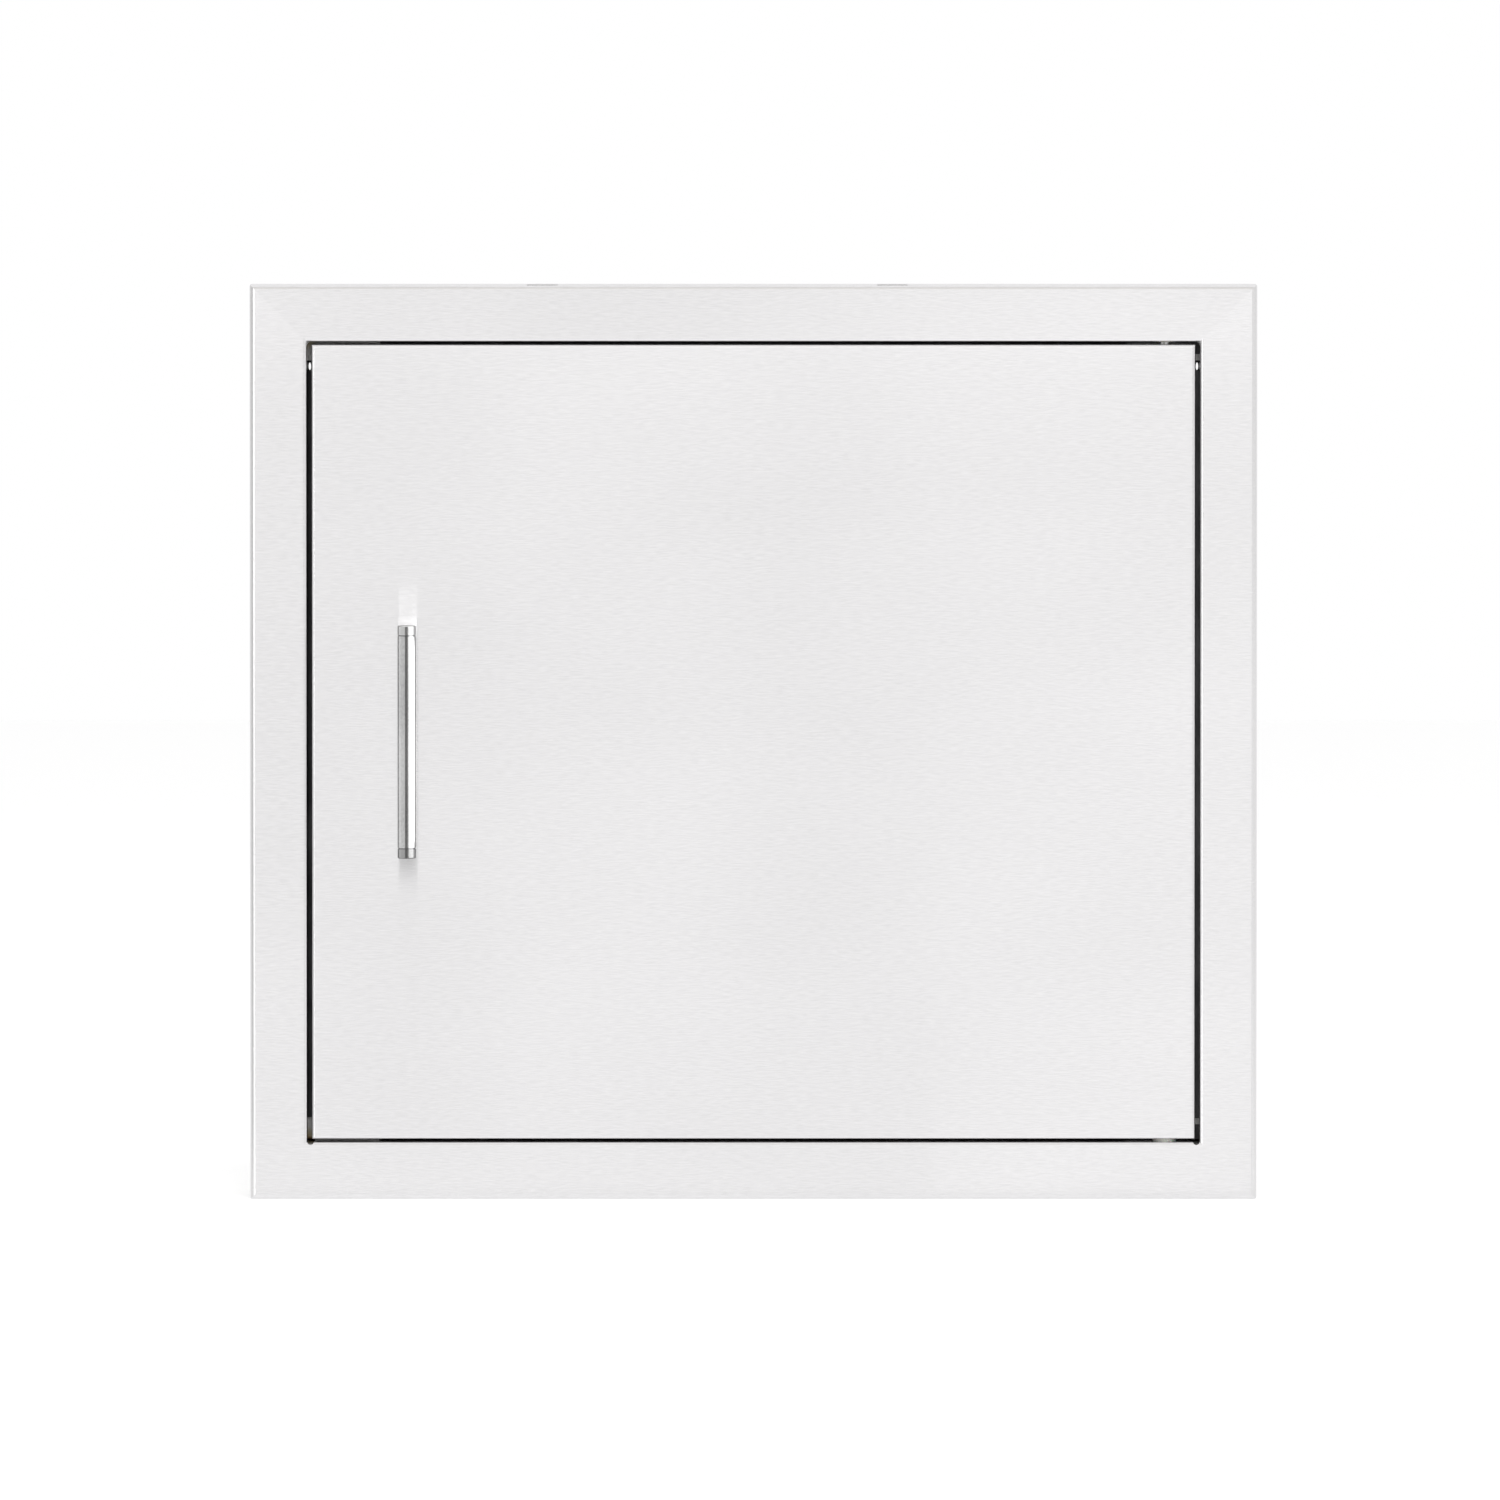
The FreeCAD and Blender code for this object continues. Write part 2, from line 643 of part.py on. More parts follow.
def handle_backing_plate():
    """Plate inside the face that spreads the pull of the handle screws."""
    half = POST_SPACING / 2 + BACKING_END
    x_range = (HANDLE_X - BACKING_W / 2, HANDLE_X + BACKING_W / 2)
    back = SKIN_INSIDE + BACKING_T
    plate = block(x_range, (SKIN_INSIDE, back), (HANDLE_Z - half, HANDLE_Z + half))
    return plate.cut(handle_screw_holes(SKIN_INSIDE, back))


def handle_washers():
    """Flat washers under the handle screw heads."""
    front = SKIN_INSIDE + BACKING_T
    back = front + WASHER_T
    washers = []
    for z, hole in zip(post_heights(), handle_screw_holes(front, back)):
        disc = rod(WASHER_R, point(HANDLE_X, front, z), point(HANDLE_X, back, z))
        washers.append(disc.cut(hole))
    return group(washers)


def handle_screws():
    """Screws from inside the door into the posts."""
    seat = SKIN_INSIDE + BACKING_T + WASHER_T
    screws = []
    for z in post_heights():
        shank = rod(SCREW_R, point(HANDLE_X, FACE_Y - SCREW_THREAD, z), point(HANDLE_X, seat, z))
        head = rod(SCREW_HEAD_R, point(HANDLE_X, seat, z), point(HANDLE_X, seat + SCREW_HEAD_T, z))
        screws.append(shank.fuse(head))
    return group(screws)


def pivot_plate(level, hole_r):
    """Backing plate on the outside of the sleeve at the upper (1) or lower (-1) pivot."""
    inside, outside = sorted((level * SLEEVE_OUTSIDE_Z, level * PLATE_OUTSIDE_Z))
    x_range = (PIVOT_X - PIVOT_PLATE_W / 2, PIVOT_X + PIVOT_PLATE_W / 2)
    y_range = (FACE_Y + PIVOT_PLATE_FRONT, FACE_Y + PIVOT_PLATE_BACK)
    plate = block(x_range, y_range, (inside, outside))
    return plate.cut(pivot_rod(hole_r, inside, outside))


def upper_pivot_bush():
    """Flanged bush in the top of the frame, in which the sprung pin turns."""
    flange_low = SLEEVE_Z - BUSH_FLANGE_T
    body = pivot_rod(BUSH_R, SLEEVE_Z, PLATE_OUTSIDE_Z)
    flange = pivot_rod(BUSH_FLANGE_R, flange_low, SLEEVE_Z)
    return body.fuse(flange).cut(pivot_rod(GUIDE_R, flange_low, PLATE_OUTSIDE_Z))


def lower_pivot_pin():
    """Fixed pin, pressed in the lower plate and standing up into the door."""
    tip = DOOR_BOTTOM + LOWER_PIN_REACH
    pin = pivot_rod(PIN_R, -PLATE_OUTSIDE_Z, tip)
    return pin.makeChamfer(PIN_TIP_CHAMFER, level_edges(pin, tip))


def thrust_washer():
    """Washer that carries the door on the bottom of the sleeve."""
    top = -SLEEVE_Z + THRUST_WASHER_T
    ring = pivot_rod(BUSH_FLANGE_R, -SLEEVE_Z, top)
    return ring.cut(pivot_rod(PIN_R + THRUST_WASHER_CLEAR, -SLEEVE_Z, top))


def lower_pivot_bush():
    """Bush in the bottom of the door, whose flange turns on the thrust washer."""
    flange_low = -SLEEVE_Z + THRUST_WASHER_T
    top = DOOR_BOTTOM + LOWER_BUSH_LENGTH
    body = pivot_rod(BUSH_R, DOOR_BOTTOM, top)
    flange = pivot_rod(BUSH_FLANGE_R, flange_low, DOOR_BOTTOM)
    return body.fuse(flange).cut(pivot_rod(GUIDE_R, flange_low, top))


def block_ranges():
    half_w = BLOCK_W / 2
    half_d = BLOCK_D / 2
    return (PIVOT_X - half_w, PIVOT_X + half_w), (PIVOT_Y - half_d, PIVOT_Y + half_d)


def lower_pivot_block():
    """Block welded in the bottom of the door round the lower bush."""
    x_range, y_range = block_ranges()
    low = DOOR_BOTTOM + DOOR_SHEET
    high = low + LOWER_BLOCK_H
    return block(x_range, y_range, (low, high)).cut(pivot_rod(BUSH_R, low, DOOR_BOTTOM + LOWER_BUSH_LENGTH))


def upper_pivot_block():
    """Block in the top of the door that guides the sprung pin and holds its spring."""
    x_range, y_range = block_ranges()
    body = block(x_range, y_range, (BLOCK_BOTTOM, BLOCK_TOP))
    spring_room = pivot_rod(SPRING_BORE_R, SPRING_BOTTOM, BLOCK_TOP - UPPER_GUIDE)
    return body.cut([pivot_rod(GUIDE_R, BLOCK_BOTTOM, BLOCK_TOP), spring_room])


def pivot_pin():
    """Sprung pin that holds the door's top in the frame."""
    tip = PLATE_OUTSIDE_Z - PIN_TIP_INSET
    pin = pivot_rod(PIN_R, BLOCK_BOTTOM - PIN_TAIL, tip)
    pin = pin.makeChamfer(PIN_TIP_CHAMFER, level_edges(pin, tip))
    cross_hole = rod(LEVER_R, point(PIVOT_X, PIVOT_Y, LEVER_Z), point(PIVOT_X, PIVOT_Y + PIN_R, LEVER_Z))
    return pin.cut(cross_hole)


def pin_clip():
    """Ring snapped on the pin: it stops the pin's rise and the spring pushes under it."""
    low = SPRING_TOP
    high = SPRING_TOP + CLIP_T
    return pivot_rod(CLIP_R, low, high).cut(pivot_rod(PIN_R, low, high))


def tangent_arc(start, apex, end):
    """Arc between two points whose tangents meet at the apex."""
    half_chord = (end - start).Length / 2
    reach = (apex - start).Length
    chord_middle = (start + end) / 2
    middle = chord_middle + (apex - chord_middle) * (half_chord / (reach + half_chord))
    return Part.Arc(start, middle, end).toShape()


def spring_stations(low, high):
    """Place and direction of the spring's wire at each quarter turn."""
    rise = (high - low) / (SPRING_TURNS * 2 * math.pi)
    stations = []
    for quarter in range(4 * SPRING_TURNS + 1):
        angle = quarter * math.pi / 2
        across = point(math.cos(angle), math.sin(angle), 0) * SPRING_R
        place = across + point(PIVOT_X, PIVOT_Y, low + rise * angle)
        direction = point(-across.y, across.x, rise).normalize()
        stations.append((place, direction))
    return stations


def spring_line(stations):
    """Wire's centre line: two arcs between stations, tangent to both and to each other."""
    arcs = []
    for (start, direction), (end, end_direction) in zip(stations, stations[1:]):
        span = end - start
        turn = 1 - direction * end_direction
        run = span * (direction + end_direction)
        reach = (math.sqrt(run**2 + 2 * turn * (span * span)) - run) / (2 * turn)
        first_apex = start + direction * reach
        second_apex = end - end_direction * reach
        joint = (first_apex + second_apex) / 2
        arcs.append(tangent_arc(start, first_apex, joint))
        arcs.append(tangent_arc(joint, second_apex, end))
    return Part.Wire(arcs)


def pin_spring():
    """Compression spring round the pin, as one round wire."""
    low = SPRING_BOTTOM + SPRING_WIRE_R + SPRING_SEAT_CLEAR
    high = SPRING_TOP - SPRING_WIRE_R - SPRING_SEAT_CLEAR
    stations = spring_stations(low, high)
    section = Part.Circle(stations[0][0], stations[0][1], SPRING_WIRE_R).toShape()
    coil = spring_line(stations).makePipeShell([Part.Wire([section])], True, False)
    turn_gap = (high - low) / SPRING_TURNS - 2 * SPRING_WIRE_R
    print("spring: least gap between turns", round(turn_gap, 2), "mm")
    return coil


def release_lever():
    """Stem from the pin out through the liner's slot."""
    start = point(PIVOT_X, PIVOT_Y, LEVER_Z)
    return rod(LEVER_R, start, point(PIVOT_X, LINER_BACK + KNOB_GAP + KNOB_SOCKET, LEVER_Z))


def release_knob():
    """Thumb knob on the stem, behind the door."""
    front = LINER_BACK + KNOB_GAP
    back = front + KNOB_LENGTH
    knob = rod(KNOB_R, point(PIVOT_X, front, LEVER_Z), point(PIVOT_X, back, LEVER_Z))
    knob = knob.makeFillet(KNOB_ROUND, facing_edges(knob, front) + facing_edges(knob, back))
    socket_end = front + KNOB_SOCKET
    return knob.cut(rod(LEVER_R, point(PIVOT_X, front, LEVER_Z), point(PIVOT_X, socket_end, LEVER_Z)))


def at_level(shape, level):
    """The catches are drawn in the upper corner and mirrored to the lower one."""
    return shape if level > 0 else shape.mirror(point(0, 0, 0), point(0, 0, 1))


def catch_x(inset):
    """Place of a catch edge, from the latch side of the opening."""
    return -OPEN_X + inset


def catch_bracket(level):
    """Plate screwed on the stop strips, with a tab folded forward under the sleeve."""
    y_range = (BRACKET_FRONT, STOP_Y)
    end = catch_x(CATCH_BRACKET_END)
    head = block((catch_x(CATCH_TAB_INSET), end), y_range, (SLEEVE_Z - CATCH_BRACKET_HEAD, SLEEVE_Z))
    arm = block((catch_x(CATCH_ARM_INSET), end), y_range, (SLEEVE_Z - CATCH_BRACKET_H, SLEEVE_Z))
    tab_x = (catch_x(CATCH_TAB_INSET), catch_x(CATCH_TAB_INSET + CATCH_TAB_W))
    tab = block(tab_x, (STOP_Y - CATCH_TAB_REACH, STOP_Y), (SLEEVE_Z - CATCH_BRACKET_T, SLEEVE_Z))
    bracket = head.fuse([arm, tab]).removeSplitter()
    depth = point(0, CATCH_BRACKET_T, 0)
    holes = [rod(CATCH_SCREW_R, place - depth, place) for place in catch_screw_places()]
    return at_level(bracket.cut(holes), level)


def catch_body_ranges():
    """Outside of the catch body, in the upper corner."""
    left = catch_x(CATCH_BODY_INSET)
    top = SLEEVE_Z - CATCH_BODY_DROP
    front = STRIKE_BACK + POLE_PROUD
    return (left, left + CATCH_BODY_W), (front, BRACKET_FRONT), (top - CATCH_BODY_H, top)


def catch_room():
    """Pocket in the catch body for the magnet and its two poles."""
    (x_low, x_high), (front, back), (z_low, z_high) = catch_body_ranges()
    wall = CATCH_WALL
    return (x_low + wall, x_high - wall), (front, back - wall), (z_low + wall, z_high - wall)


def catch_body(level):
    """Moulded body, open to the front."""
    body = block(*catch_body_ranges()).cut(block(*catch_room()))
    return at_level(body, level)


def catch_magnet(level):
    """Ferrite block between the poles."""
    x_range, y_range, (z_low, z_high) = catch_room()
    return at_level(block(x_range, y_range, (z_low + POLE_T, z_high - POLE_T)), level)


def catch_poles(level):
    """Two steel poles, standing proud of the body to meet the strike plate."""
    x_range, (front, back), (z_low, z_high) = catch_room()
    poles = []
    for low in (z_low, z_high - POLE_T):
        poles.append(block(x_range, (front - POLE_PROUD, back), (low, low + POLE_T)))
    return at_level(group(poles), level)


def catch_screws():
    """Screws through the brackets into the top and bottom stop strips."""
    screws = []
    for place in catch_screw_places():
        seat = place - point(0, CATCH_BRACKET_T, 0)
        shank = rod(CATCH_SCREW_R, seat, seat + point(0, CATCH_SCREW_LENGTH, 0))
        head = rod(CATCH_SCREW_HEAD_R, seat - point(0, CATCH_SCREW_HEAD_T, 0), seat)
        screws.append(shank.fuse(head))
    return group(screws)


def strike_centre(level):
    x_range, _, z_range = catch_body_ranges()
    return sum(x_range) / 2, level * sum(z_range) / 2


def strike_rivet_places():
    """Rivets of both strike plates, one above and one below the middle of each."""
    places = []
    for level in (1, -1):
        x, z = strike_centre(level)
        places.append((x, z - STRIKE_RIVET_SPACING / 2))
        places.append((x, z + STRIKE_RIVET_SPACING / 2))
    return places


def strike_plate(level):
    """Steel plate on the liner that the magnet holds."""
    x, z = strike_centre(level)
    half_w = CATCH_BODY_W / 2 - STRIKE_MARGIN
    half_h = CATCH_BODY_H / 2 - STRIKE_MARGIN
    plate = block((x - half_w, x + half_w), (LINER_BACK, STRIKE_BACK), (z - half_h, z + half_h))
    holes = []
    for hole_x, hole_z in strike_rivet_places():
        holes.append(rod(RIVET_R, point(hole_x, LINER_BACK, hole_z), point(hole_x, STRIKE_BACK, hole_z)))
    return plate.cut(holes)


def strike_rivets():
    """Flush rivets through the strike plates and the liner."""
    rivets = []
    for x, z in strike_rivet_places():
        shank = rod(RIVET_R, point(x, DOOR_BACK, z), point(x, STRIKE_BACK, z))
        tail = rod(STRIKE_RIVET_TAIL_R, point(x, DOOR_BACK - RIVET_HEAD_T, z), point(x, DOOR_BACK, z))
        rivets.append(shank.fuse(tail))
    return group(rivets)


def build_parts():
    """Every sub-part by its name."""
    parts = {}
    for side in SIDES:
        parts[side + ("_rail" if side in ("top", "bottom") else "_stile")] = rail(side)
        parts[side + "_sleeve"] = sleeve(side)
        parts[side + "_stop_strip"] = stop_strip(side)
    for side in ("top", "bottom", "latch"):
        parts[side + "_seal"] = bulb_seal(side)
    parts["hinge_seal"] = flat_seal()
    parts["upper_pivot_plate"] = pivot_plate(1, BUSH_R)
    parts["lower_pivot_plate"] = pivot_plate(-1, PIN_R)
    parts["upper_pivot_bush"] = upper_pivot_bush()
    parts["lower_pivot_pin"] = lower_pivot_pin()
    parts["thrust_washer"] = thrust_washer()
    for word, level in (("upper", 1), ("lower", -1)):
        parts[word + "_catch_bracket"] = catch_bracket(level)
        parts[word + "_catch_body"] = catch_body(level)
        parts[word + "_catch_magnet"] = catch_magnet(level)
        parts[word + "_catch_poles"] = catch_poles(level)
        parts[word + "_strike_plate"] = strike_plate(level)
    parts["catch_screws"] = catch_screws()
    parts["strike_rivets"] = strike_rivets()
    parts["door_skin"] = door_skin()
    parts["door_liner"] = door_liner()
    parts["liner_rivets"] = liner_rivets()
    parts["door_stiffener"] = door_stiffener()
    parts["handle_bar"] = handle_bar()
    parts["upper_handle_cap"] = handle_cap()
    parts["lower_handle_cap"] = lower_handle_cap()
    parts["handle_posts"] = handle_posts()
    parts["handle_backing_plate"] = handle_backing_plate()
    parts["handle_washers"] = handle_washers()
    parts["handle_screws"] = handle_screws()
    parts["upper_pivot_block"] = upper_pivot_block()
    parts["lower_pivot_block"] = lower_pivot_block()
    parts["lower_pivot_bush"] = lower_pivot_bush()
    parts["pivot_pin"] = pivot_pin()
    parts["pin_clip"] = pin_clip()
    parts["pin_spring"] = pin_spring()
    parts["release_lever"] = release_lever()
    parts["release_knob"] = release_knob()
    return parts


os.makedirs("parts", exist_ok=True)
for name, shape in build_parts().items():
    shape.exportStep("parts/" + name + ".step")
    valid = "valid" if shape.isValid() else "NOT VALID"
    print(name, len(shape.Solids), "solids", round(shape.Volume, 1), "mm3", valid)
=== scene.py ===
# %% [markdown]
# # A flush stainless door for an outdoor kitchen island
# The door and its frame come from the workshop's own CAD, so every size is already right.
# What is left to do here is what the eye judges: how brushed steel takes the light, how dark
# the gap round the door is, and the small turned and moulded pieces that are seen from behind.
# Everything is in metres, and nothing that came from CAD is moved.

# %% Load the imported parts
import json
import math

import bpy
from mathutils import Matrix, Vector


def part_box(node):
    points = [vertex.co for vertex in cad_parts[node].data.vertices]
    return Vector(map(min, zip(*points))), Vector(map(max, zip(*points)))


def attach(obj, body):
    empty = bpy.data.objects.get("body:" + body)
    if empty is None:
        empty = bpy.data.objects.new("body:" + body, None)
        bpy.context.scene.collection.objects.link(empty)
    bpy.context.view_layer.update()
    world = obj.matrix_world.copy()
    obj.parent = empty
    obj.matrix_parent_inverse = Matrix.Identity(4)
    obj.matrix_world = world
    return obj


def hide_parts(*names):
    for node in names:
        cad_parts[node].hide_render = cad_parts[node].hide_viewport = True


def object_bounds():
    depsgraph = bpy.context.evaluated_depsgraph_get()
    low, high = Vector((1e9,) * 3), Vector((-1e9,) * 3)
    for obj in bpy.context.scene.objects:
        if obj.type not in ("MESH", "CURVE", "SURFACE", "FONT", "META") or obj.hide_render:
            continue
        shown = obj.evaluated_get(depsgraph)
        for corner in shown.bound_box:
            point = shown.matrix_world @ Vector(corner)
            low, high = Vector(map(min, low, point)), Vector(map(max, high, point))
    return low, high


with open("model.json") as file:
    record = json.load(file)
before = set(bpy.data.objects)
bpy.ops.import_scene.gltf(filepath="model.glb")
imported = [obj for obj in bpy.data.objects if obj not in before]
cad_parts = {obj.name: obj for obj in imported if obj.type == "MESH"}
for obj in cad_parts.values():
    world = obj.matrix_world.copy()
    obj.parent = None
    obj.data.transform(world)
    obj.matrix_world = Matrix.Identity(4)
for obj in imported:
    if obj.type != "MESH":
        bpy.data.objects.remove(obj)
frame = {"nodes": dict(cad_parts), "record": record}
cad_low, cad_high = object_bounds()
nodes = frame["nodes"]
print("CAD pieces:", len(nodes), "size in mm:", [round(1000 * side) for side in cad_high - cad_low])

# %% [markdown]
# Sizes on the drawing are in millimetres, and Blender's are in metres, so one value turns the
# first into the second. Colours are picked as screen colours, and the shader wants linear
# light, so one function turns them.

# %% Millimetres and colours
MM = 0.001


def linear(hex_colour):
    """Linear RGBA of an sRGB hex colour such as #EDEDED."""
    channels = [int(hex_colour[start:start + 2], 16) / 255 for start in (1, 3, 5)]
    lit = [c / 12.92 if c <= 0.04045 else ((c + 0.055) / 1.055) ** 2.4 for c in channels]
    return (*lit, 1.0)


print("mid grey #808080 in linear light:", round(linear("#808080")[0], 3))

# %% [markdown]
# ## The camera
# The picture was taken from in front and a touch above, from far away with a long lens: the
# frame's opposite edges stay parallel, and only the gaps and the end of the handle tell that
# the camera is higher. It stands square to the door, because the handle hides its own mirror
# image. An orthographic camera would do nearly the same. A real lens far away was chosen,
# because other views of the object then have a natural perspective as well.

# %% Camera
FRAME_SHARE = 1007.5 / 1500
CAMERA_DISTANCE = 14.0
CAMERA_RISE = math.radians(2.6)
AIM_X = -1.9 * MM
AIM_Z = -4.4 * MM
SENSOR = 36.0

face_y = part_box("top_rail")[0].y
frame_width = cad_high.x - cad_low.x
aim = Vector((AIM_X, face_y, AIM_Z))
camera_data = bpy.data.cameras.new("long_lens")
camera_data.lens = SENSOR * CAMERA_DISTANCE * FRAME_SHARE / frame_width
camera_data.sensor_width = SENSOR
camera = bpy.data.objects.new("camera", camera_data)
bpy.context.scene.collection.objects.link(camera)
away = Vector((0, -math.cos(CAMERA_RISE), math.sin(CAMERA_RISE)))
camera.location = aim + away * CAMERA_DISTANCE
camera.rotation_euler = (-away).to_track_quat("-Z", "Y").to_euler()
bpy.context.scene.camera = camera
print("lens:", round(camera_data.lens), "mm, camera at", [round(value, 3) for value in camera.location])

# %% [markdown]
# ## One helper for all nodes
# A material is a small tree of nodes. Each call below adds one node, sets its values and joins
# it to the nodes before it.

# %% Node helper


def add_node(tree, kind, settings=None, links=None):
    """Adds a node. Settings name an input, by name or number, or a property, and links an input.

    A link comes from a socket, or from a node, which then gives its first output in use.
    """
    node = tree.nodes.new("ShaderNode" + kind)
    for name, value in (settings or {}).items():
        if isinstance(name, int) or name in node.inputs:
            node.inputs[name].default_value = value
        else:
            setattr(node, name, value)
    for name, source in (links or {}).items():
        if isinstance(source, bpy.types.Node):
            source = next(output for output in source.outputs if output.enabled)
        tree.links.new(source, node.inputs[name])
    return node


def new_material(name):
    """Empty material and its tree."""
    material = bpy.data.materials.new(name)
    material.use_nodes = True
    material.node_tree.nodes.clear()
    return material, material.node_tree


print("node helper ready")

# %% [markdown]
# ## Studio
# Bright metal shows the room more than itself, so the room is built as a product photographer
# builds it. The world is white at strength 1, where it is seen straight on, mirrored or through
# something clear. As light on matt pieces it is a plainer fill.

# %% World
WORLD_FILL = 0.75


def seen_or_mirrored(tree):
    """1 for what is seen straight on, in a mirror or through glass, and 0 for what only gives light."""
    rays = add_node(tree, "LightPath")
    direct = add_node(
        tree,
        "Math",
        {"operation": "MAXIMUM"},
        {0: rays.outputs["Is Camera Ray"], 1: rays.outputs["Is Glossy Ray"]},
    )
    return add_node(
        tree, "Math", {"operation": "MAXIMUM"}, {0: direct, 1: rays.outputs["Is Transmission Ray"]}
    )


world = bpy.data.worlds.new("white_studio")
bpy.context.scene.world = world
world.use_nodes = True
tree = world.node_tree
tree.nodes.clear()
strength = add_node(
    tree, "MapRange", {"To Min": WORLD_FILL, "To Max": 1.0}, {"Value": seen_or_mirrored(tree)}
)
background = add_node(tree, "Background", {"Color": linear("#FFFFFF")}, {"Strength": strength})
add_node(tree, "OutputWorld", None, {"Surface": background})
print("world:", world.name, "fill", WORLD_FILL)

# %% [markdown]
# The floor is matt and pale. The lamps light it, so it keeps the shadow of the object. What the
# camera and the metal see of it is lifted a little, to the white of the picture.

# %% Floor
FLOOR_SIZE = 12.0
FLOOR_LIFT = 0.35

# Matt paint with a little glow of its own: the eye sees white ground and still a soft shadow.
floor_paint, tree = new_material("matt white studio floor")
lift = add_node(tree, "Math", {"operation": "MULTIPLY", 1: FLOOR_LIFT}, {0: seen_or_mirrored(tree)})
paint = add_node(
    tree,
    "BsdfPrincipled",
    {"Base Color": linear("#E6E6E6"), "Roughness": 0.9, "Emission Color": linear("#FFFFFF")},
    {"Emission Strength": lift},
)
add_node(tree, "OutputMaterial", None, {"Surface": paint})

bpy.ops.object.select_all(action="DESELECT")
bpy.ops.mesh.primitive_plane_add(size=FLOOR_SIZE, location=(0, 0, cad_low.z))
floor = bpy.context.object
floor.name = "floor"
floor.data.materials.append(floor_paint)
print("floor:", FLOOR_SIZE, "m square")

# %% [markdown]
# Two area lamps give soft shade to whatever is matt. Metal does not mirror them: it has cards and
# a tent of its own, which follow.

# %% Softboxes


def softbox(name, place, size, power):
    """Square area lamp aimed at the middle of the door."""
    data = bpy.data.lights.new(name, "AREA")
    data.size = size
    data.energy = power
    lamp = bpy.data.objects.new(name, data)
    bpy.context.scene.collection.objects.link(lamp)
    lamp.location = place
    lamp.rotation_euler = (-Vector(place)).to_track_quat("-Z", "Y").to_euler()
    lamp.visible_glossy = False


softbox("key_softbox", place=(0.4, -2.2, 2.6), size=1.8, power=60)
softbox("right_softbox", place=(2.6, -1.6, 0.5), size=1.4, power=30)

# %% [markdown]
# Metal is lit by what it mirrors. A photographer sets white cards round it and flags them off, so
# that each one shows on one piece only. Light linking does the same: a card is an area lamp whose
# light reaches the pieces in one list. Its radiance is the brightness that a perfect mirror would
# show, so 1 is the white of the picture, and its power is the radiance times pi times its area.

# %% Cards for chosen pieces
TOWARDS_DOOR = (math.radians(90), 0, 0)
TOWARDS_LEFT = (math.radians(90), 0, math.radians(90))
UPWARDS = (math.radians(180), 0, 0)
FACE_PIECES = ["top_rail", "bottom_rail", "latch_stile", "hinge_stile", "door_skin"]
PULL_PIECES = ["handle_bar", "upper_handle_cap", "lower_handle_cap"]


def card(name, place, turn, size, radiance, lit):
    """Glowing card of a width and a height, whose light only the pieces in lit take."""
    width, height = size
    data = bpy.data.lights.new(name, "AREA")
    data.shape = "RECTANGLE"
    data.size = width
    data.size_y = height
    data.energy = radiance * math.pi * width * height
    lamp = bpy.data.objects.new(name, data)
    bpy.context.scene.collection.objects.link(lamp)
    lamp.location = place
    lamp.rotation_euler = turn
    receivers = bpy.data.collections.new(name + "_lights")
    for node in lit:
        receivers.objects.link(nodes[node])
    lamp.light_linking.receiver_collection = receivers


print("pieces with cards:", len(FACE_PIECES) + len(PULL_PIECES))

# %% [markdown]
# A low strip on the left draws the bright line down the left bend of the frame. A large one on the
# right and a small one beside the bar draw the bright side of the handle. The seals lie deep in the
# gap, so a card of their own keeps them from going black.

# %% Strips
EDGE_OFFSET = 40

handle_low, handle_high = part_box("handle_bar")
handle_x = (handle_low.x + handle_high.x) / 2
handle_y = (handle_low.y + handle_high.y) / 2
handle_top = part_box("upper_handle_cap")[1].z
handle_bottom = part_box("lower_handle_cap")[0].z

card("left_strip", (-2.85, -5.0, 0.4), TOWARDS_DOOR, size=(4.3, 1.3), radiance=2.1, lit=FACE_PIECES)
card("right_strip", (2.6, -2.8, 0.0), TOWARDS_LEFT, size=(6.0, 6.0), radiance=1.5, lit=PULL_PIECES)
edge_place = (handle_x + EDGE_OFFSET * MM, (handle_y + face_y) / 2, 0.0)
card("edge_card", edge_place, TOWARDS_LEFT, size=(0.026, 0.11), radiance=1.5, lit=["handle_bar"])
gap_lit = ["latch_seal", "hinge_seal"]
card("gap_lamp", (0.0, -7.0, 0.6), TOWARDS_DOOR, size=(1.8, 3.0), radiance=9.0, lit=gap_lit)
print("handle in mm:", [round(value / MM, 1) for value in (handle_x, handle_bottom, handle_top)])

# %% [markdown]
# The door mirrors the handle's bright upper end as a pale trail above the bar. The trail is as wide
# as the bar and fades upwards, because the brushing smears it upright. Three small cards stand in
# for that bright end: two just behind the bar and one close to the door.

# %% Pale trail above the handle
GHOST_WIDTH = 10.2
# Way in front of the face, lower and upper edge above the handle's top, in mm, and radiance.
GHOST_CARDS = [(30, 0, 3, 0.8), (30, 0, 18, 0.14), (9, -6, 2.5, 0.3)]

for way, low_edge, high_edge, radiance in GHOST_CARDS:
    ghost_place = (handle_x, face_y - way * MM, handle_top + (low_edge + high_edge) / 2 * MM)
    ghost_size = (GHOST_WIDTH * MM, (high_edge - low_edge) * MM)
    card("ghost_card", ghost_place, TOWARDS_DOOR, ghost_size, radiance, FACE_PIECES)

# %% [markdown]
# Round the front stands a light tent, as is used for polished metal: a half-round wall of white
# cloth with a grey ground sheet, brighter on the right and open at the top and the back. Only
# reflections see it. In front it has a dark gap, which draws the dark line down the middle of
# the round handle. One ramp over the compass direction holds how bright the cloth is, and 0
# degrees is straight in front of the handle.

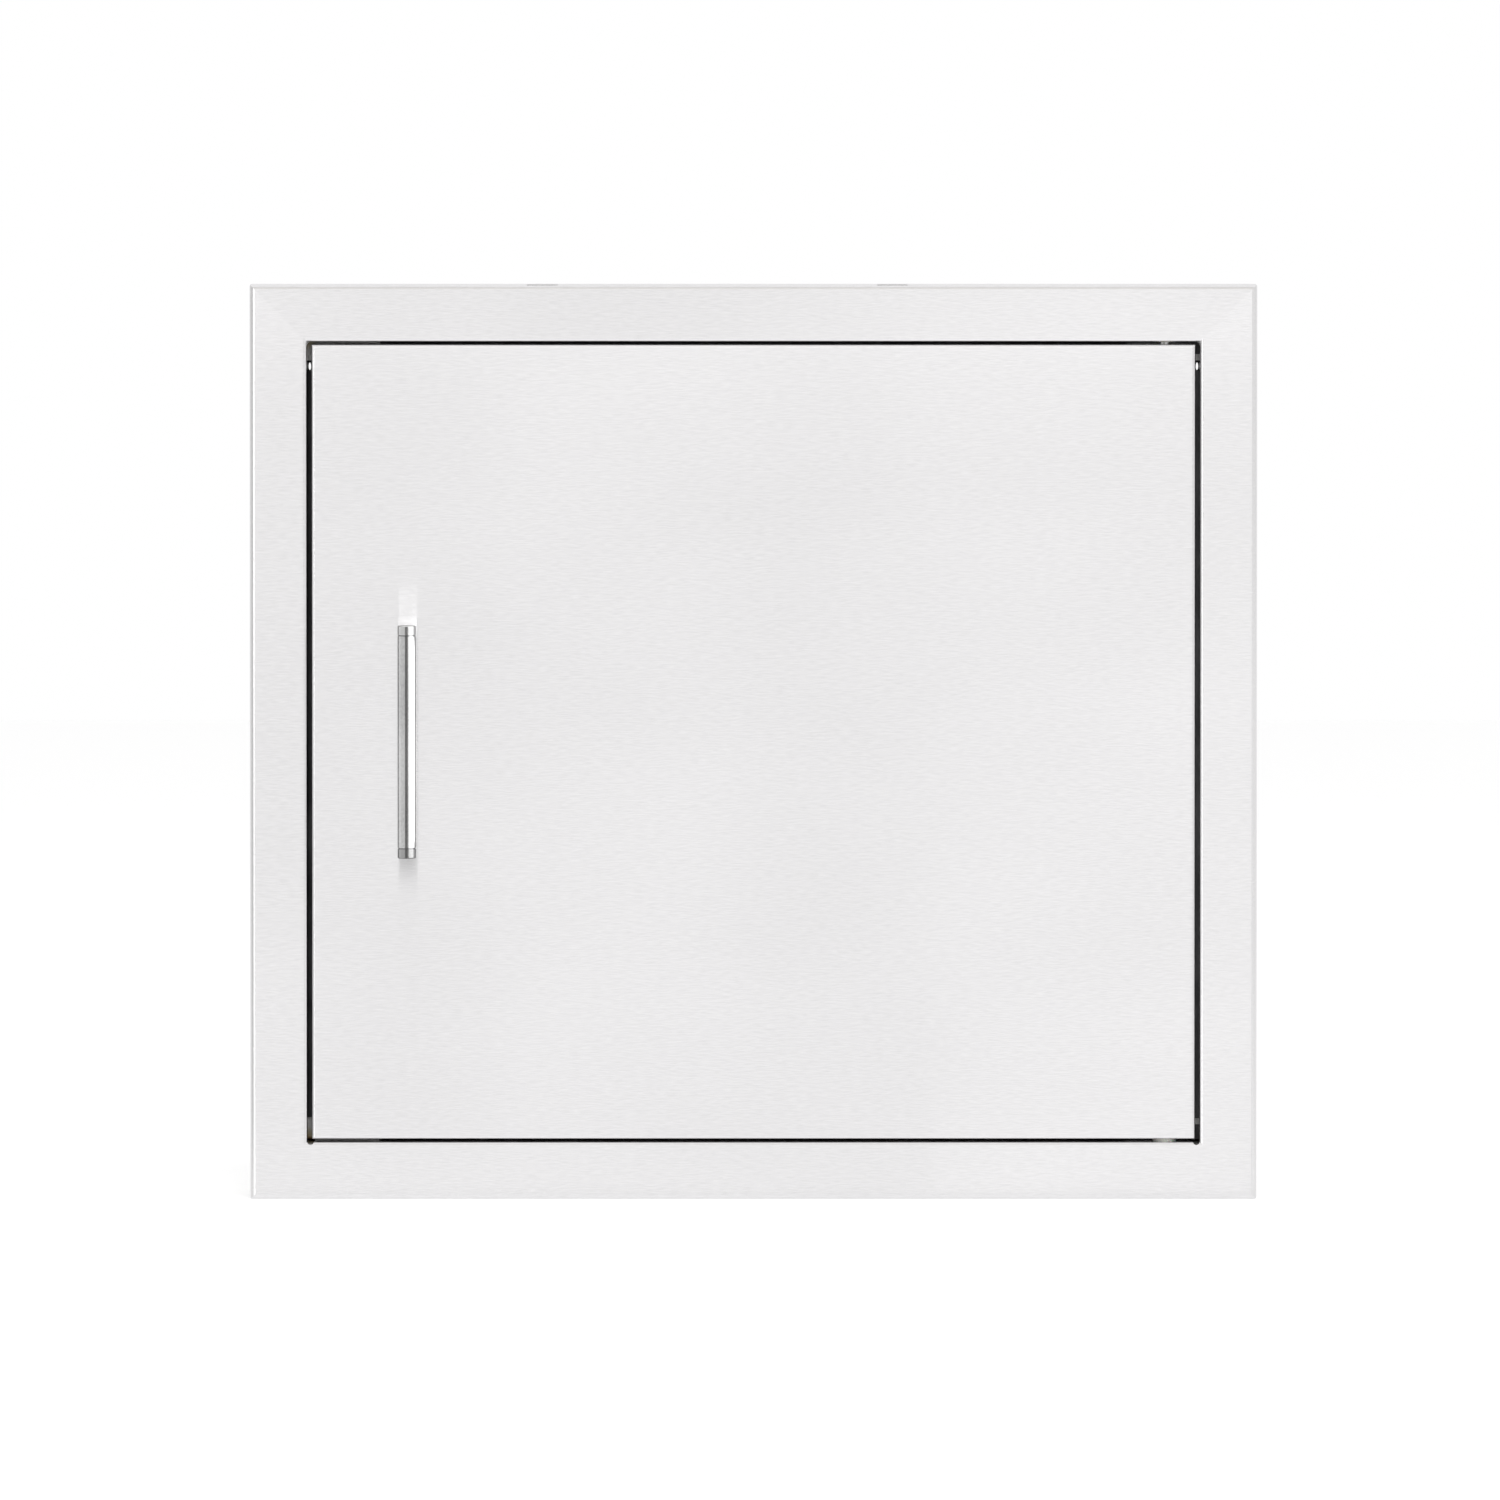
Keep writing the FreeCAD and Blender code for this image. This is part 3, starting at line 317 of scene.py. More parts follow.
# %% Brightness round the compass
TENT_PEAK = 2.0
WALL_STOPS = [
    (-180, 0.45), (-112, 0.4), (-100, 0.62), (-60, 0.5), (-23, 0.5), (-20, 0.12),
    (-4, 0.08), (8, 0.13), (12, 0.35), (16, 0.65), (22, 0.9), (28, 0.75),
    (106, 0.75), (125, 0.9), (180, 0.6),
]
GROUND_STOPS = [
    (-180, 0.6), (-112, 0.4), (-100, 0.7), (-23, 0.65), (-20, 0.12), (-4, 0.08),
    (8, 0.13), (12, 0.35), (16, 0.65), (22, 1.0), (106, 0.95), (180, 0.6),
]


def grey(bright):
    """Grey RGBA of a cloth that bright, as a share of the peak."""
    return (*[bright / TENT_PEAK] * 3, 1.0)


def compass_ramp(tree, turn, stops):
    """Grey ramp over the compass direction, from -180 to 180 degrees."""
    ramp = add_node(tree, "ValToRGB", None, {"Fac": turn})
    elements = ramp.color_ramp.elements
    elements.remove(elements[0])
    elements[0].position = 0.0
    for number, (degrees, bright) in enumerate(stops):
        stop = elements[0] if number == 0 else elements.new((degrees + 180) / 360)
        stop.color = grey(bright)
    return ramp


print("stops:", len(WALL_STOPS), "on the wall,", len(GROUND_STOPS), "on the ground")

# %% [markdown]
# The cloth reads its direction from the tent's own centre. Ground and wall have a ramp each, and
# above the gap the cloth is white all round and a touch warm. A lit dome picture would be simpler,
# but it couldn't be tuned for one line on the handle at a time.

# %% Tent cloth
TENT_CENTRE = Vector((-0.19, -0.05, 0.0))
WALL_FOOT = (0.01, 0.03)
GAP_TOP = 1.8
GAP_FADE = 0.15
ABOVE_GAP = 1.0
WARM = (1.0, 0.985, 0.955)

# Even white cloth, greyer on the left and a touch warm above the gap: metal mirrors it softly.
cloth, tree = new_material("white tent cloth")
place = add_node(tree, "TexCoord")
offset = add_node(tree, "SeparateXYZ", None, {0: place.outputs["Object"]})
ahead = add_node(tree, "Math", {"operation": "MULTIPLY", 1: -1.0}, {0: offset.outputs["Y"]})
bearing = add_node(tree, "Math", {"operation": "ARCTAN2"}, {0: offset.outputs["X"], 1: ahead})
turn = add_node(tree, "MapRange", {"From Min": -math.pi, "From Max": math.pi}, {"Value": bearing})
is_wall = add_node(
    tree,
    "MapRange",
    {"From Min": cad_low.z + WALL_FOOT[0], "From Max": cad_low.z + WALL_FOOT[1]},
    {"Value": offset.outputs["Z"]},
)
bright_cloth = add_node(
    tree,
    "Mix",
    {"data_type": "RGBA"},
    {
        "Factor": is_wall,
        6: compass_ramp(tree, turn, GROUND_STOPS),
        7: compass_ramp(tree, turn, WALL_STOPS),
    },
)
is_high = add_node(
    tree,
    "MapRange",
    {"From Min": GAP_TOP - GAP_FADE, "From Max": GAP_TOP + GAP_FADE},
    {"Value": offset.outputs["Z"]},
)
high_cloth = (*[tone * ABOVE_GAP / TENT_PEAK for tone in WARM], 1.0)
over_gap = add_node(
    tree,
    "Mix",
    {"data_type": "RGBA", "blend_type": "LIGHTEN", 7: high_cloth},
    {"Factor": is_high, 6: bright_cloth},
)
print("cloth:", cloth.name)

# %% [markdown]
# The lowest part of the door mirrors the ground close to it. There the ground sheet has a dark
# strip that widens away from the door, and the cards further down lie on it. Behind the face the
# sheet is white again, because the bottom bend of the frame mirrors that part. Higher up the wall
# dims towards its eaves.

# %% Strip on the ground, and eaves
GAP_LIGHT = 0.1
STRIP_HALF = 0.34
STRIP_SPREAD = 0.09
STRIP_FADE = 0.05
STRIP_START = 0.04
STRIP_START_FADE = 0.01
FOOT_LIGHT = 1.0
EAVES_START = 3.0
EAVES_END = 6.0
EAVES_SHARE = 0.75

off_middle = add_node(tree, "Math", {"operation": "ADD", 1: TENT_CENTRE.x}, {0: offset.outputs["X"]})
aside = add_node(tree, "Math", {"operation": "ABSOLUTE"}, {0: off_middle})
outward = add_node(tree, "Math", {"operation": "ABSOLUTE"}, {0: offset.outputs["Y"]})
beyond = add_node(tree, "Math", {"operation": "MULTIPLY_ADD", 1: -STRIP_SPREAD}, {0: outward, 2: aside})
outside = add_node(
    tree, "MapRange", {"From Min": STRIP_HALF, "From Max": STRIP_HALF + STRIP_FADE}, {"Value": beyond}
)
not_strip = add_node(tree, "Math", {"operation": "MAXIMUM"}, {0: outside, 1: is_wall})
covered = add_node(
    tree, "Mix", {"data_type": "RGBA", 6: grey(GAP_LIGHT)}, {"Factor": not_strip, 7: over_gap}
)
strip_end = -STRIP_START - TENT_CENTRE.y
underneath = add_node(
    tree,
    "MapRange",
    {"From Min": strip_end, "From Max": strip_end + STRIP_START_FADE},
    {"Value": offset.outputs["Y"]},
)
at_foot = add_node(
    tree, "Math", {"operation": "SUBTRACT", "use_clamp": True}, {0: underneath, 1: is_wall}
)
lit_foot = add_node(
    tree, "Mix", {"data_type": "RGBA", 7: grey(FOOT_LIGHT)}, {"Factor": at_foot, 6: covered}
)
eaves = add_node(
    tree,
    "MapRange",
    {
        "From Min": EAVES_START,
        "From Max": EAVES_END,
        "To Min": TENT_PEAK,
        "To Max": TENT_PEAK * EAVES_SHARE,
    },
    {"Value": offset.outputs["Z"]},
)
glow = add_node(tree, "Emission", None, {"Color": lit_foot, "Strength": eaves})
add_node(tree, "OutputMaterial", None, {"Surface": glow})
print("strip starts", STRIP_START, "m in front, eaves dim to", EAVES_SHARE)

# %% [markdown]
# The tent itself is a cylinder. Its back and its roof are cut off by two planes, which leaves the
# wall and the ground sheet.

# %% Tent
TENT_RADIUS = 8.0
TENT_HEIGHT = 12.0
TENT_BACK = 3.6
TENT_SIDES = 96
GROUND_LIFT = 0.0001
ROOF_CUT = 0.01

bpy.ops.object.select_all(action="DESELECT")
bpy.ops.mesh.primitive_cylinder_add(
    vertices=TENT_SIDES,
    radius=TENT_RADIUS,
    depth=TENT_HEIGHT,
    location=(TENT_CENTRE.x, TENT_CENTRE.y, cad_low.z + GROUND_LIFT + TENT_HEIGHT / 2),
)
tent = bpy.context.object
tent.name = "light_tent"
tent.data.materials.append(cloth)
roof_z = cad_low.z + TENT_HEIGHT - ROOF_CUT
bpy.ops.object.mode_set(mode="EDIT")
for spot, outside_way in (((0, TENT_BACK, 0), (0, 1, 0)), ((0, 0, roof_z), (0, 0, 1))):
    bpy.ops.mesh.select_all(action="SELECT")
    bpy.ops.mesh.bisect(plane_co=spot, plane_no=outside_way, clear_outer=True)
bpy.ops.object.mode_set(mode="OBJECT")
tent.data.transform(tent.matrix_world)
tent.data.transform(Matrix.Translation((-TENT_CENTRE.x, -TENT_CENTRE.y, 0)))
tent.matrix_world = Matrix.Translation((TENT_CENTRE.x, TENT_CENTRE.y, 0))
tent.visible_camera = False
tent.visible_diffuse = False
tent.visible_transmission = False
tent.visible_volume_scatter = False
tent.visible_shadow = False
print("tent:", len(tent.data.polygons), "faces")

# %% [markdown]
# The flat face would mirror the tent's gap and go dark, so cards that only light the face fill it:
# one upright far off, and some on the ground, which widen away from the door as the strip does. A
# brushed face smears what it mirrors upright, but hardly sideways, so faint upright cards raise the
# tone on the right and draw a soft band left of the middle.

# %% Cards for the flat face
CARD_LIGHT = 0.85
CARD_WIDTH = 1.65
CARD_REACH = 7.6
CARD_LIFT = 0.4
CARD_STEP = 0.1
# Near and far edge from the wall's plane, left and right edge, in metres, and radiance.
GROUND_CARDS = [
    (0.034, 0.8, -0.39, 0.39, 0.935),
    (0.8, 1.8, -0.47, 0.47, 0.94),
    (1.8, 3.2, -0.6, 0.6, 0.89),
    (3.2, CARD_REACH, -0.8, 0.8, CARD_LIGHT),
    (0.034, 3.2, 0.1, 0.5, 0.04),
]
# Way from the wall's plane, left and right edge, in metres, and radiance.
BAND_CARDS = [
    (7.55, 0.2, 0.8, 0.07),
    (7.55, 0.3, 0.8, 0.07),
    (1.0, -0.15, -0.005, 0.02),
    (1.0, -0.09, -0.005, 0.046),
]

front_height = GAP_TOP - cad_low.z
front_z = cad_low.z + front_height / 2
front_place = (0.0, -CARD_REACH, front_z)
card("front_card", front_place, TOWARDS_DOOR, (CARD_WIDTH, front_height), CARD_LIGHT, FACE_PIECES)
for number, (near, far, low_x, high_x, radiance) in enumerate(GROUND_CARDS):
    ground_z = cad_low.z + (CARD_LIFT + CARD_STEP * number) * MM
    ground_place = ((low_x + high_x) / 2, -(near + far) / 2, ground_z)
    ground_size = (high_x - low_x, far - near)
    card(f"ground_card_{number}", ground_place, UPWARDS, ground_size, radiance, FACE_PIECES)
for number, (way, low_x, high_x, radiance) in enumerate(BAND_CARDS):
    band_place = ((low_x + high_x) / 2, -way, front_z)
    band_size = (high_x - low_x, front_height)
    card(f"band_card_{number}", band_place, TOWARDS_DOOR, band_size, radiance, FACE_PIECES)
print("cards:", 1 + len(GROUND_CARDS) + len(BAND_CARDS))

# %% [markdown]
# A card above the frame gives the upper part of the face its sheen. The top rail does without it,
# or its bend would turn white, and has two faint cards of its own.

# %% Cards for the upper part
BROW_AWAY = 360
BROW_ABOVE = 50
BROW_WIDTH = 640
BROW_HEIGHT = 200
RAIL_AWAY = 1.0
RAIL_MARGIN = 15
# Left and right edge, in metres, and radiance.
RAIL_CARDS = [(-0.35, 0.35, 0.08), (-0.35, 0.09, 0.09)]

brow_place = (0.0, face_y - BROW_AWAY * MM, cad_high.z + (BROW_ABOVE + BROW_HEIGHT / 2) * MM)
brow_size = (BROW_WIDTH * MM, BROW_HEIGHT * MM)
brow_lit = [name for name in FACE_PIECES if name != "top_rail"]
card("brow_card", brow_place, TOWARDS_DOOR, brow_size, radiance=0.5, lit=brow_lit)
for number, (low_x, high_x, radiance) in enumerate(RAIL_CARDS):
    rail_place = ((low_x + high_x) / 2, -RAIL_AWAY, cad_high.z / 2)
    rail_size = (high_x - low_x, cad_high.z - RAIL_MARGIN * MM)
    card(f"rail_card_{number}", rail_place, TOWARDS_DOOR, rail_size, radiance, ["top_rail"])

# %% [markdown]
# Below the handle a small net of black gauze hangs in the handle's own plane. Photographers hang
# such a net to hold back part of the light. The door mirrors it as the soft dark trail under the
# bar, and the gauze thins out downwards, so the trail fades.

# %% Net below the handle
NET_LENGTH = 17
NET_SHARE = 0.4

# Black thread with holes between: the eye only sees what is behind it, a little darker.
gauze, tree = new_material("black photographer's gauze, thinning downwards")
place = add_node(tree, "TexCoord")
height = add_node(tree, "SeparateXYZ", None, {0: place.outputs["Object"]})
held_back = add_node(
    tree,
    "MapRange",
    {"From Min": handle_bottom - NET_LENGTH * MM, "From Max": handle_bottom, "To Max": NET_SHARE},
    {"Value": height.outputs["Z"]},
)
holes = add_node(tree, "BsdfTransparent")
thread = add_node(tree, "Emission", {"Color": linear("#000000"), "Strength": 0.0})
net_mix = add_node(tree, "MixShader", None, {0: held_back, 1: holes, 2: thread})
add_node(tree, "OutputMaterial", None, {"Surface": net_mix})
bpy.ops.object.select_all(action="DESELECT")
bpy.ops.mesh.primitive_plane_add(
    size=1.0,
    location=(handle_x, handle_y, handle_bottom - NET_LENGTH * MM / 2),
    rotation=(math.radians(90), 0, 0),
)
net = bpy.context.object
net.name = "handle_net"
net.scale = (GHOST_WIDTH * MM, NET_LENGTH * MM, 1)
bpy.ops.object.transform_apply(location=True, rotation=True, scale=True)
net.data.materials.append(gauze)
net.visible_camera = False
net.visible_diffuse = False
print("net:", GHOST_WIDTH, "by", NET_LENGTH, "mm")

# %% [markdown]
# ## Brushed stainless steel
# The face of the door and of the frame is 304 stainless with a number 4 finish: a belt has
# drawn fine level scratches across the whole sheet before it was cut and folded. Along the
# scratches the steel is nearly a mirror, and across them it smears what it mirrors up and down.
# One way is a bump map of scratches, but at this distance a pixel covers several of them. So the
# shader's anisotropy gives the smear, and a stretched noise only draws the few marks that show.
# Every pattern below is sized in millimetres, by a mapping whose unit cell is one mark.

# %% Pattern cells
GRAIN_WIDTH = 0.7
SCRATCH_LENGTH = 6
SMEAR_DEPTH = 0.02


def cells(tree, size, centre=(0, 0, 0)):
    """Object coordinates in which one cell of the pattern measures size, in millimetres."""
    place = add_node(tree, "TexCoord")
    scale = [1 / (side * MM) for side in size]
    shift = [-middle * share * MM for middle, share in zip(centre, scale)]
    return add_node(
        tree, "Mapping", {"Scale": scale, "Location": shift}, {"Vector": place.outputs["Object"]}
    )


def across_grain(tree):
    """Direction in which level scratches smear a reflection: upright, and in depth on level faces."""
    upright = add_node(tree, "CombineXYZ", {"X": 0.0, "Y": SMEAR_DEPTH, "Z": 1.0})
    return add_node(
        tree,
        "VectorTransform",
        {"vector_type": "VECTOR", "convert_from": "OBJECT", "convert_to": "WORLD"},
        {"Vector": upright},
    )


print("scratches:", SCRATCH_LENGTH, "by", GRAIN_WIDTH, "mm")

# %% [markdown]
# Most finishes end alike: the marks also raise the surface by a hair, and one shader takes the
# colour, the roughness and that relief. Real relief would need far more geometry than the marks
# are worth, and a bump only tilts the light, so it is enough here.

# %% Skin with relief


def skin_with_relief(tree, relief, settings, links):
    """Ends a material. Relief is a strength, a depth in millimetres and the node it follows."""
    strength, depth, marks = relief
    bump = add_node(tree, "Bump", {"Strength": strength, "Distance": depth * MM}, {"Height": marks})
    skin = add_node(tree, "BsdfPrincipled", settings, {"Normal": bump, **links})
    add_node(tree, "OutputMaterial", None, {"Surface": skin})


print("skin helper ready")

# %% [markdown]
# On the folded sides of the sheet the scratches run in depth, so the pattern turns where a face
# looks left or right. A slow drift in tone under it stands for the belt's uneven pressure.

# %% Brushed face
RETURN_FACING = 0.6
GRAIN_SPAN = (0.15, 0.85)
FACE_DRIFT = (160, 160, 90)
FACE_DRIFT_SHARE = 0.35

# Level smear, faint level scratches and a slow drift in tone: the eye reads a belted sheet.
brushed, tree = new_material("brushed 304 stainless, number 4 belt finish")
place = add_node(tree, "TexCoord")
facing = add_node(tree, "SeparateXYZ", None, {0: place.outputs["Normal"]})
sideways = add_node(tree, "Math", {"operation": "ABSOLUTE"}, {0: facing.outputs["X"]})
is_return = add_node(tree, "Math", {"operation": "GREATER_THAN", 1: RETURN_FACING}, {0: sideways})
along_belt = add_node(
    tree,
    "Mix",
    {"data_type": "VECTOR"},
    {
        "Factor": is_return,
        4: cells(tree, (SCRATCH_LENGTH, GRAIN_WIDTH, GRAIN_WIDTH)),
        5: cells(tree, (GRAIN_WIDTH, SCRATCH_LENGTH, GRAIN_WIDTH)),
    },
)
grain = add_node(
    tree, "TexNoise", {"Scale": 1.0, "Detail": 3.0, "Roughness": 0.6}, {"Vector": along_belt}
)
drift = add_node(tree, "TexNoise", {"Scale": 1.0, "Detail": 1.0}, {"Vector": cells(tree, FACE_DRIFT)})
crisp_grain = add_node(
    tree,
    "MapRange",
    {"From Min": GRAIN_SPAN[0], "From Max": GRAIN_SPAN[1], "clamp": False},
    {"Value": grain},
)
mixed = add_node(
    tree, "Mix", {"data_type": "FLOAT", "Factor": FACE_DRIFT_SHARE}, {2: crisp_grain, 3: drift}
)
tone = add_node(
    tree, "Mix", {"data_type": "RGBA", 6: linear("#DFDEDF"), 7: linear("#F5F4F5")}, {"Factor": mixed}
)
skin_with_relief(
    tree,
    (0.08, 0.02, grain),
    {"Metallic": 1.0, "Roughness": 0.19, "Anisotropic": 1.0},
    {"Base Color": tone, "Tangent": across_grain(tree)},
)
print("face:", brushed.name)

# %% [markdown]
# ## The handle's steel
# The bar is drawn tube, polished round on a belt, which leaves rings so fine that they only smear
# a reflection along the bar. Fingers and the belt's joints leave it a little cloudy. The cloudiness
# is a noise of about a millimetre on a slow drift along the bar. The shader's tint at grazing angles
# is black, which paints shade along the edges of the bar and of the caps.

# %% Handle bar
MOTTLE = 1.3
BAR_DRIFT = (900, 900, 45)
BAR_DRIFT_MIDDLE = (0, 0, 12)
BAR_DRIFT_SHARE = 0.65

bar_steel, tree = new_material("satin 304 stainless tube, belt polished round")
mottle = add_node(
    tree, "TexNoise", {"Scale": 1.0, "Detail": 2.0}, {"Vector": cells(tree, (MOTTLE, MOTTLE, MOTTLE))}
)
drift = add_node(
    tree,
    "TexNoise",
    {"Scale": 1.0, "Detail": 1.0},
    {"Vector": cells(tree, BAR_DRIFT, BAR_DRIFT_MIDDLE)},
)
mixed = add_node(tree, "Mix", {"data_type": "FLOAT", "Factor": BAR_DRIFT_SHARE}, {2: mottle, 3: drift})
tone = add_node(tree, "MapRange", {"From Min": 0.35, "From Max": 0.65}, {"Value": mixed})
colour = add_node(
    tree, "Mix", {"data_type": "RGBA", 6: linear("#D2D2D2"), 7: linear("#F2F2F2")}, {"Factor": tone}
)
# Painted shade: the black tint at grazing angles darkens the edges of the bar.
steel = add_node(
    tree,
    "BsdfPrincipled",
    {"Metallic": 1.0, "Roughness": 0.17, "Anisotropic": 1.0, "Specular Tint": linear("#000000")},
    {"Base Color": colour, "Tangent": across_grain(tree)},
)
add_node(tree, "OutputMaterial", None, {"Surface": steel})
print("bar:", bar_steel.name)

# %% [markdown]
# The two caps are turned from bar and pressed into the tube, with a narrow neck between. Their steel
# is duller than the tube. Painted shade makes the neck dark grey and the lower end near black, and
# painted light makes the upper cap lighter. All three are told apart by how far they are along the bar.

# %% Handle caps
NECK_FROM_END = 5.2
NECK_EDGE = 0.1
END_EDGE = (0.05, 0.3)

bar_middle = (handle_top + handle_bottom) / 2
neck_reach = handle_top - bar_middle - NECK_FROM_END * MM

cap_steel, tree = new_material("turned 304 stainless cap, dull neck")
place = add_node(tree, "TexCoord")
height = add_node(tree, "SeparateXYZ", None, {0: place.outputs["Object"]})
from_middle = add_node(tree, "Math", {"operation": "SUBTRACT", 1: bar_middle}, {0: height.outputs["Z"]})
reach = add_node(tree, "Math", {"operation": "ABSOLUTE"}, {0: from_middle})
# Painted shade: this is 0 in the neck between cap and tube, where the colour below turns dark grey.
polished = add_node(
    tree,
    "MapRange",
    {"From Min": neck_reach - NECK_EDGE * MM, "From Max": neck_reach},
    {"Value": reach},
)
# Painted shade: the lower end of the lower cap is coloured near black.
clear_of_painted_end_shade = add_node(
    tree,
    "MapRange",
    {"From Min": handle_bottom + END_EDGE[0] * MM, "From Max": handle_bottom + END_EDGE[1] * MM},
    {"Value": height.outputs["Z"]},
)
rings = add_node(
    tree, "TexNoise", {"Scale": 1.0, "Detail": 2.0}, {"Vector": cells(tree, (12, 12, 0.35))}
)
# Painted light: the cap colours run from darker at the lower cap to lighter at the upper cap.
painted_top_light_share = add_node(
    tree, "MapRange", {"From Min": handle_bottom, "From Max": handle_top}, {"Value": height.outputs["Z"]}
)
light_rings_painted_lit_above = add_node(
    tree, "Mix", {"data_type": "RGBA", 6: linear("#CCCCCC"), 7: linear("#F4F4F4")}, {"Factor": painted_top_light_share}
)
dark_rings_painted_lit_above = add_node(
    tree, "Mix", {"data_type": "RGBA", 6: linear("#B4B4B4"), 7: linear("#E0E0E0")}, {"Factor": painted_top_light_share}
)
cap_rings_painted_lit_above = add_node(tree, "Mix", {"data_type": "RGBA"}, {"Factor": rings, 6: dark_rings_painted_lit_above, 7: light_rings_painted_lit_above})
with_painted_neck_shade = add_node(
    tree, "Mix", {"data_type": "RGBA", 6: linear("#848484")}, {"Factor": polished, 7: cap_rings_painted_lit_above}
)
colour = add_node(
    tree, "Mix", {"data_type": "RGBA", 6: linear("#4C4C4C")}, {"Factor": clear_of_painted_end_shade, 7: with_painted_neck_shade}
)
# Painted shade: the black tint at grazing angles darkens the edges of the caps.
steel = add_node(
    tree,
    "BsdfPrincipled",
    {"Metallic": 1.0, "Roughness": 0.2, "Anisotropic": 1.0, "Specular Tint": linear("#000000")},
    {"Base Color": colour, "Tangent": across_grain(tree)},
)
add_node(tree, "OutputMaterial", None, {"Surface": steel})
print("necks at", round(neck_reach / MM, 1), "mm from the middle of the bar")

# %% [markdown]
# ## Turned steel
# Pins, posts, the release stem and the rivets come off a lathe or a header. The tool leaves rings
# round the axis, a quarter of a millimetre apart. They are drawn a little coarser here, because
# nothing that fine would show. One function makes the finish for either direction of the axis.

# %% Turned pins and posts
RING = 0.4


def turned_steel(name, size):
    """Turned finish whose marks measure size, in millimetres: short along the axis of the piece."""
    material, tree = new_material(name)
    rings = add_node(
        tree, "TexNoise", {"Scale": 1.0, "Detail": 3.0, "Roughness": 0.55}, {"Vector": cells(tree, size)}
    )
    smear = add_node(tree, "TexNoise", {"Scale": 1.0, "Detail": 2.0}, {"Vector": cells(tree, (7, 7, 7))})
    colour = add_node(
        tree,
        "Mix",
        {"data_type": "RGBA", 6: linear("#BFBFBD"), 7: linear("#DEDEDD")},
        {"Factor": rings},
    )
    dull = add_node(tree, "MapRange", {"To Min": 0.2, "To Max": 0.36}, {"Value": smear})
    skin_with_relief(
        tree, (0.35, 0.02, rings), {"Metallic": 1.0}, {"Base Color": colour, "Roughness": dull}
    )
    return material


upright_turned = turned_steel("turned 304 stainless pin, fine feed marks", (9, 9, RING))
level_turned = turned_steel("turned 304 stainless post, fine feed marks", (9, RING, 9))
print("ring pitch:", RING, "mm")

# %% [markdown]
# ## Mill sheet
# The sleeve, the strips, the brackets and the inner skin are never seen from the front, so the
# sheet keeps the dull finish of the rolling mill. It is greyer than the brushed face, with long
# faint rolling streaks, cloudy patches from handling, and a straw to blue tint where the sleeve's
# corners were welded. The tint is a ramp over the distance from the nearest corner.

# %% Mill sheet
STREAK = (60, 2, 2)
SMUDGE = 35
TINT_REACH = 11
TINT_BEHIND = (10, 15)
HEAT_TINTS = [(0.2, "#8C8FA6"), (0.45, "#C9B08A"), (0.7, "#E6DCC4"), (0.98, "#FFFFFF")]

sleeve_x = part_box("hinge_sleeve")[1].x
sleeve_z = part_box("top_sleeve")[1].z

mill, tree = new_material("cold rolled 304 stainless, dull mill finish")
streaks = add_node(
    tree, "TexNoise", {"Scale": 1.0, "Detail": 4.0, "Roughness": 0.6}, {"Vector": cells(tree, STREAK)}
)
smudges = add_node(
    tree, "TexNoise", {"Scale": 1.0, "Detail": 3.0}, {"Vector": cells(tree, (SMUDGE, SMUDGE, SMUDGE))}
)
sheet = add_node(
    tree, "Mix", {"data_type": "RGBA", 6: linear("#BDBDBB"), 7: linear("#D8D8D6")}, {"Factor": streaks}
)
place = add_node(tree, "TexCoord")
spot = add_node(tree, "SeparateXYZ", None, {0: place.outputs["Object"]})
out_x = add_node(tree, "Math", {"operation": "ABSOLUTE"}, {0: spot.outputs["X"]})
out_z = add_node(tree, "Math", {"operation": "ABSOLUTE"}, {0: spot.outputs["Z"]})
from_corner = add_node(tree, "CombineXYZ", None, {"X": out_x, "Y": out_z})
corner_way = add_node(
    tree, "VectorMath", {"operation": "DISTANCE", 1: (sleeve_x, sleeve_z, 0)}, {0: from_corner}
)
heat = add_node(tree, "MapRange", {"From Max": TINT_REACH * MM}, {"Value": corner_way})
wavy = add_node(tree, "Math", {"operation": "MULTIPLY_ADD", 1: 0.25}, {0: smudges, 2: heat})
tint = add_node(tree, "ValToRGB", None, {"Fac": wavy})
elements = tint.color_ramp.elements
elements.remove(elements[0])
for number, (position, shade) in enumerate(HEAT_TINTS):
    stop = elements[0] if number == 0 else elements.new(position)
    stop.position = position
    stop.color = linear(shade)
behind = add_node(
    tree,
    "MapRange",
    {"From Min": TINT_BEHIND[0] * MM, "From Max": TINT_BEHIND[1] * MM},
    {"Value": spot.outputs["Y"]},
)
colour = add_node(
    tree, "Mix", {"data_type": "RGBA", "blend_type": "MULTIPLY"}, {"Factor": behind, 6: sheet, 7: tint}
)
dull = add_node(tree, "MapRange", {"To Min": 0.26, "To Max": 0.44}, {"Value": smudges})
skin_with_relief(
    tree,
    (0.2, 0.03, streaks),
    {"Metallic": 1.0, "Anisotropic": 0.3},
    {"Base Color": colour, "Roughness": dull, "Tangent": across_grain(tree)},
)
print("sleeve corners at", round(sleeve_x / MM, 1), round(sleeve_z / MM, 1), "mm")

# %% [markdown]
# ## Plated steel
# The catch poles, the strike plates, and the handle's screws and washers are mild steel with bright
# zinc. Zinc is bluish and cloudy, with faint yellow where the passivation ran off the edges.

